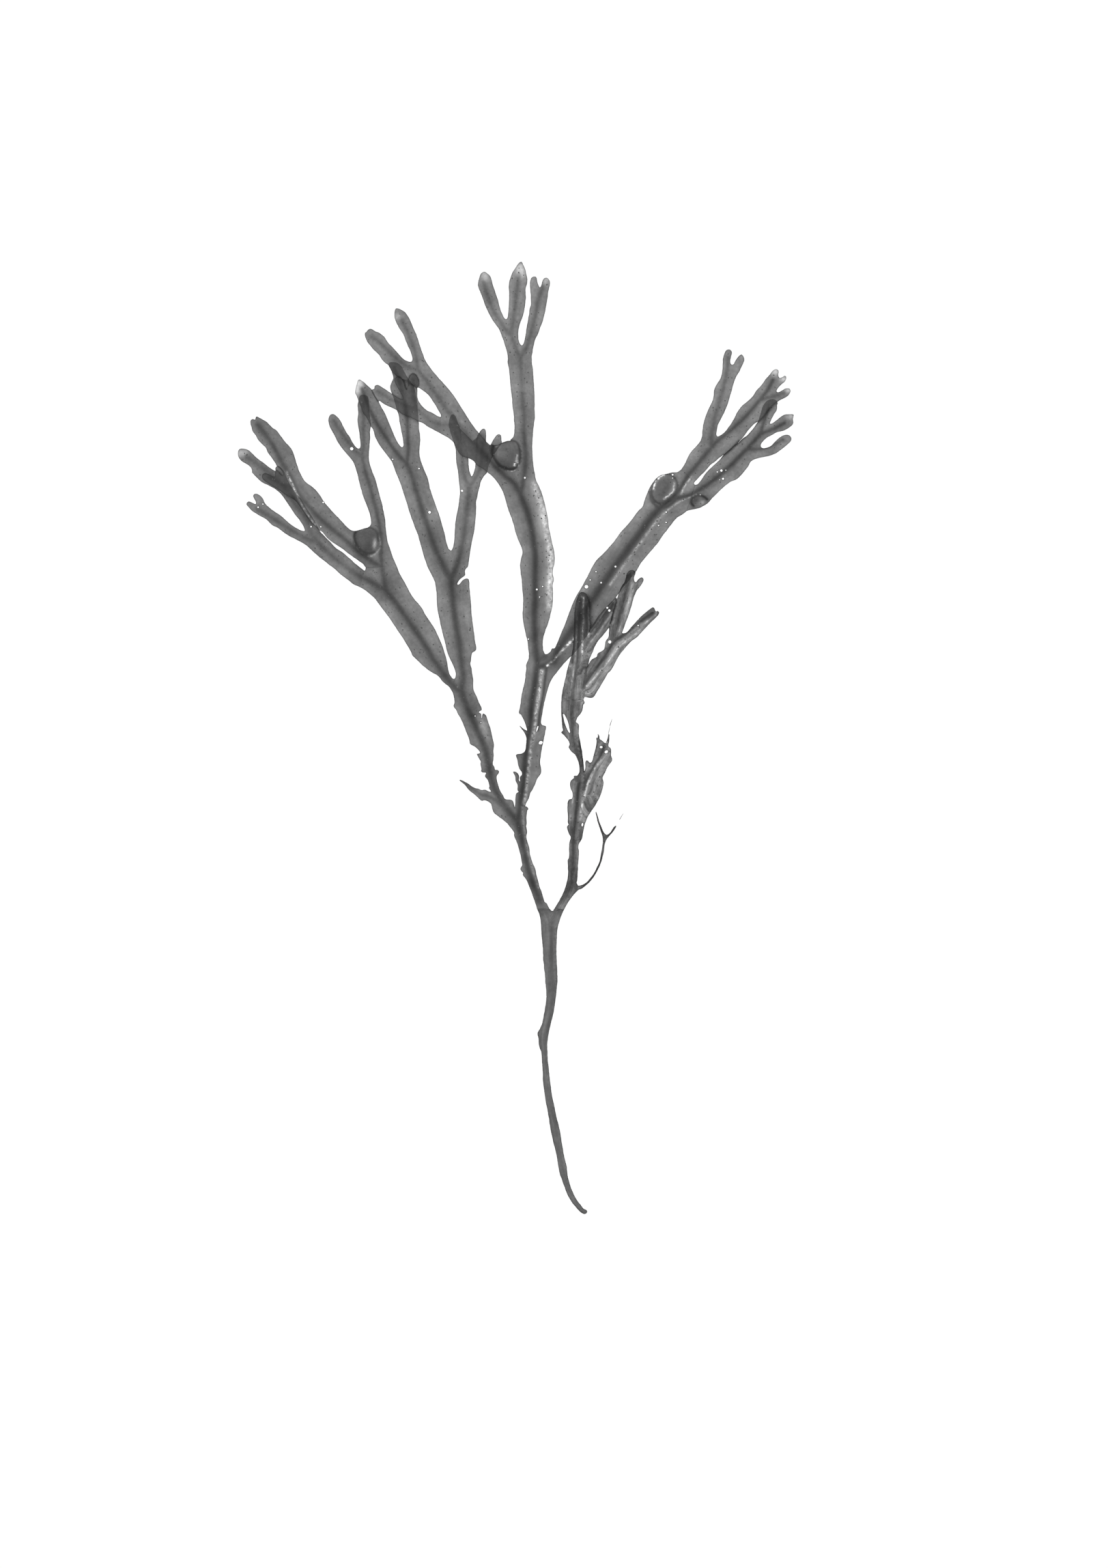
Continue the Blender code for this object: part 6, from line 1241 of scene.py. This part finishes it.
class WRACK_OT_pin_specks(bpy.types.Operator):
    """Sets the pale pin specks with their dark rings into the blades"""

    bl_idname = "wrack.pin_specks"
    bl_label = "Pin specks"

    def execute(self, context):
        blades = [item for item in context.scene.objects if item.name.endswith("_blade")]
        skin = upper_skin(blades)
        surface = BVHTree.FromPolygons([vertex.co / MM for vertex in skin.vertices],
                                       [tuple(polygon.vertices) for polygon in skin.polygons])
        spots = []
        for _, (x, y) in PIN_SPECKS:
            hit = surface.ray_cast(Vector((x, y, RAY_HEIGHT)), Vector((0, 0, -1)))[0]
            hit = hit or surface.find_nearest(Vector((x, y, 2)))[0]
            spots.append((x * MM, y * MM, hit.z * MM))
        mesh = bpy.data.meshes.new("pin_points")
        mesh.from_pydata(spots, [], [])
        note(mesh, "size", "POINT", [PIN_SIZE * half * MM for half, _ in PIN_SPECKS])
        # Painted light: white specks where light shows through pinholes in the blade, each in a ring of
        # painted shade.
        white = plain_material("Painted pinhole light", hex_colour("#FFFFFF"), 0.5)
        dark = plain_material("Painted pinhole shade", hex_colour("#585858"), 0.6)
        grown("pin_specks", mesh, pin_tree(white, dark), {"Ring width": PIN_RING * MM})
        return {"FINISHED"}


class WRACK_OT_stage(bpy.types.Operator):
    """Lays out the light table, the soft overhead light and the camera"""

    bl_idname = "wrack.stage"
    bl_label = "Stage"

    def execute(self, context):
        scene = context.scene
        mesh = bpy.data.meshes.new("light_table")
        corners = ((-1, -1), (1, -1), (1, 1), (-1, 1))
        mesh.from_pydata([(x * TABLE_HALF, y * TABLE_HALF, -TABLE_DROP) for x, y in corners], [],
                         [(0, 1, 2, 3)])
        table = new_object("light_table", mesh)
        # Opal acrylic, lit from below: an even white glow without a reflection.
        material, tree = empty_material("Opal light table")
        shader = add(tree, "ShaderNodeBsdfPrincipled", {
            "Base Color": hex_colour("#202020"), "Roughness": 0.9, "Specular IOR Level": 0.0,
            "Emission Color": hex_colour("#FFFFFF"),
            "Emission Strength": scene.wrack_look.table_glow})
        add(tree, "ShaderNodeOutputMaterial", {"Surface": shader})
        mesh.materials.append(material)
        world = bpy.data.worlds.new("Soft room")
        world.use_nodes = True
        room = world.node_tree.nodes["Background"].inputs
        room["Color"].default_value = (1, 1, 1, 1)
        room["Strength"].default_value = ROOM_STRENGTH
        scene.world = world
        lamp = bpy.data.lights.new("overhead_light", "AREA")
        lamp.size = LAMP_SIZE
        lamp.energy = LAMP_ENERGY
        light = new_object("overhead_light", lamp)
        light.location = LAMP_PLACE
        light.rotation_euler = (-light.location).to_track_quat("-Z", "Y").to_euler()
        light.visible_camera = False
        lens = bpy.data.cameras.new("camera")
        lens.lens = lens.sensor_width * CAMERA_HEIGHT / PHOTO_HEIGHT
        lens.clip_end = VIEW_END
        camera = new_object("camera", lens)
        camera.location = (PHOTO_CENTRE[0] * MM, PHOTO_CENTRE[1] * MM, CAMERA_HEIGHT * MM)
        scene.camera = camera
        scene.view_settings.view_transform = "Standard"
        return {"FINISHED"}


class WRACK_PT_panel(bpy.types.Panel):
    """Lists the frond's pieces, its sizes and its colours"""

    bl_idname = "WRACK_PT_panel"
    bl_label = "Pressed wrack"
    bl_space_type = "VIEW_3D"
    bl_region_type = "UI"
    bl_category = "Wrack"

    def draw(self, context):
        for group in (context.scene.wrack_shape, context.scene.wrack_look):
            for key in group.bl_rna.properties.keys():
                if key not in ("rna_type", "name"):
                    self.layout.prop(group, key)
        for item in OPERATORS:
            self.layout.operator(item.bl_idname)


OPERATORS = (WRACK_OT_stipe, WRACK_OT_left_blades, WRACK_OT_centre_blades, WRACK_OT_right_blades,
             WRACK_OT_old_branch, WRACK_OT_filaments, WRACK_OT_flecks, WRACK_OT_pin_specks,
             WRACK_OT_stage)
CLASSES = (WrackShape, WrackLook) + OPERATORS + (WRACK_PT_panel,)


def register():
    for item in CLASSES:
        bpy.utils.register_class(item)
    bpy.types.Scene.wrack_shape = bpy.props.PointerProperty(type=WrackShape)
    bpy.types.Scene.wrack_look = bpy.props.PointerProperty(type=WrackLook)


def unregister():
    del bpy.types.Scene.wrack_look
    del bpy.types.Scene.wrack_shape
    for item in reversed(CLASSES):
        bpy.utils.unregister_class(item)


def main():
    register()
    bpy.ops.wrack.stipe()
    bpy.ops.wrack.left_blades()
    bpy.ops.wrack.centre_blades()
    bpy.ops.wrack.right_blades()
    bpy.ops.wrack.old_branch()
    bpy.ops.wrack.filaments()
    bpy.ops.wrack.flecks()
    bpy.ops.wrack.pin_specks()
    bpy.ops.wrack.stage()


if __name__ == "__main__":
    main()
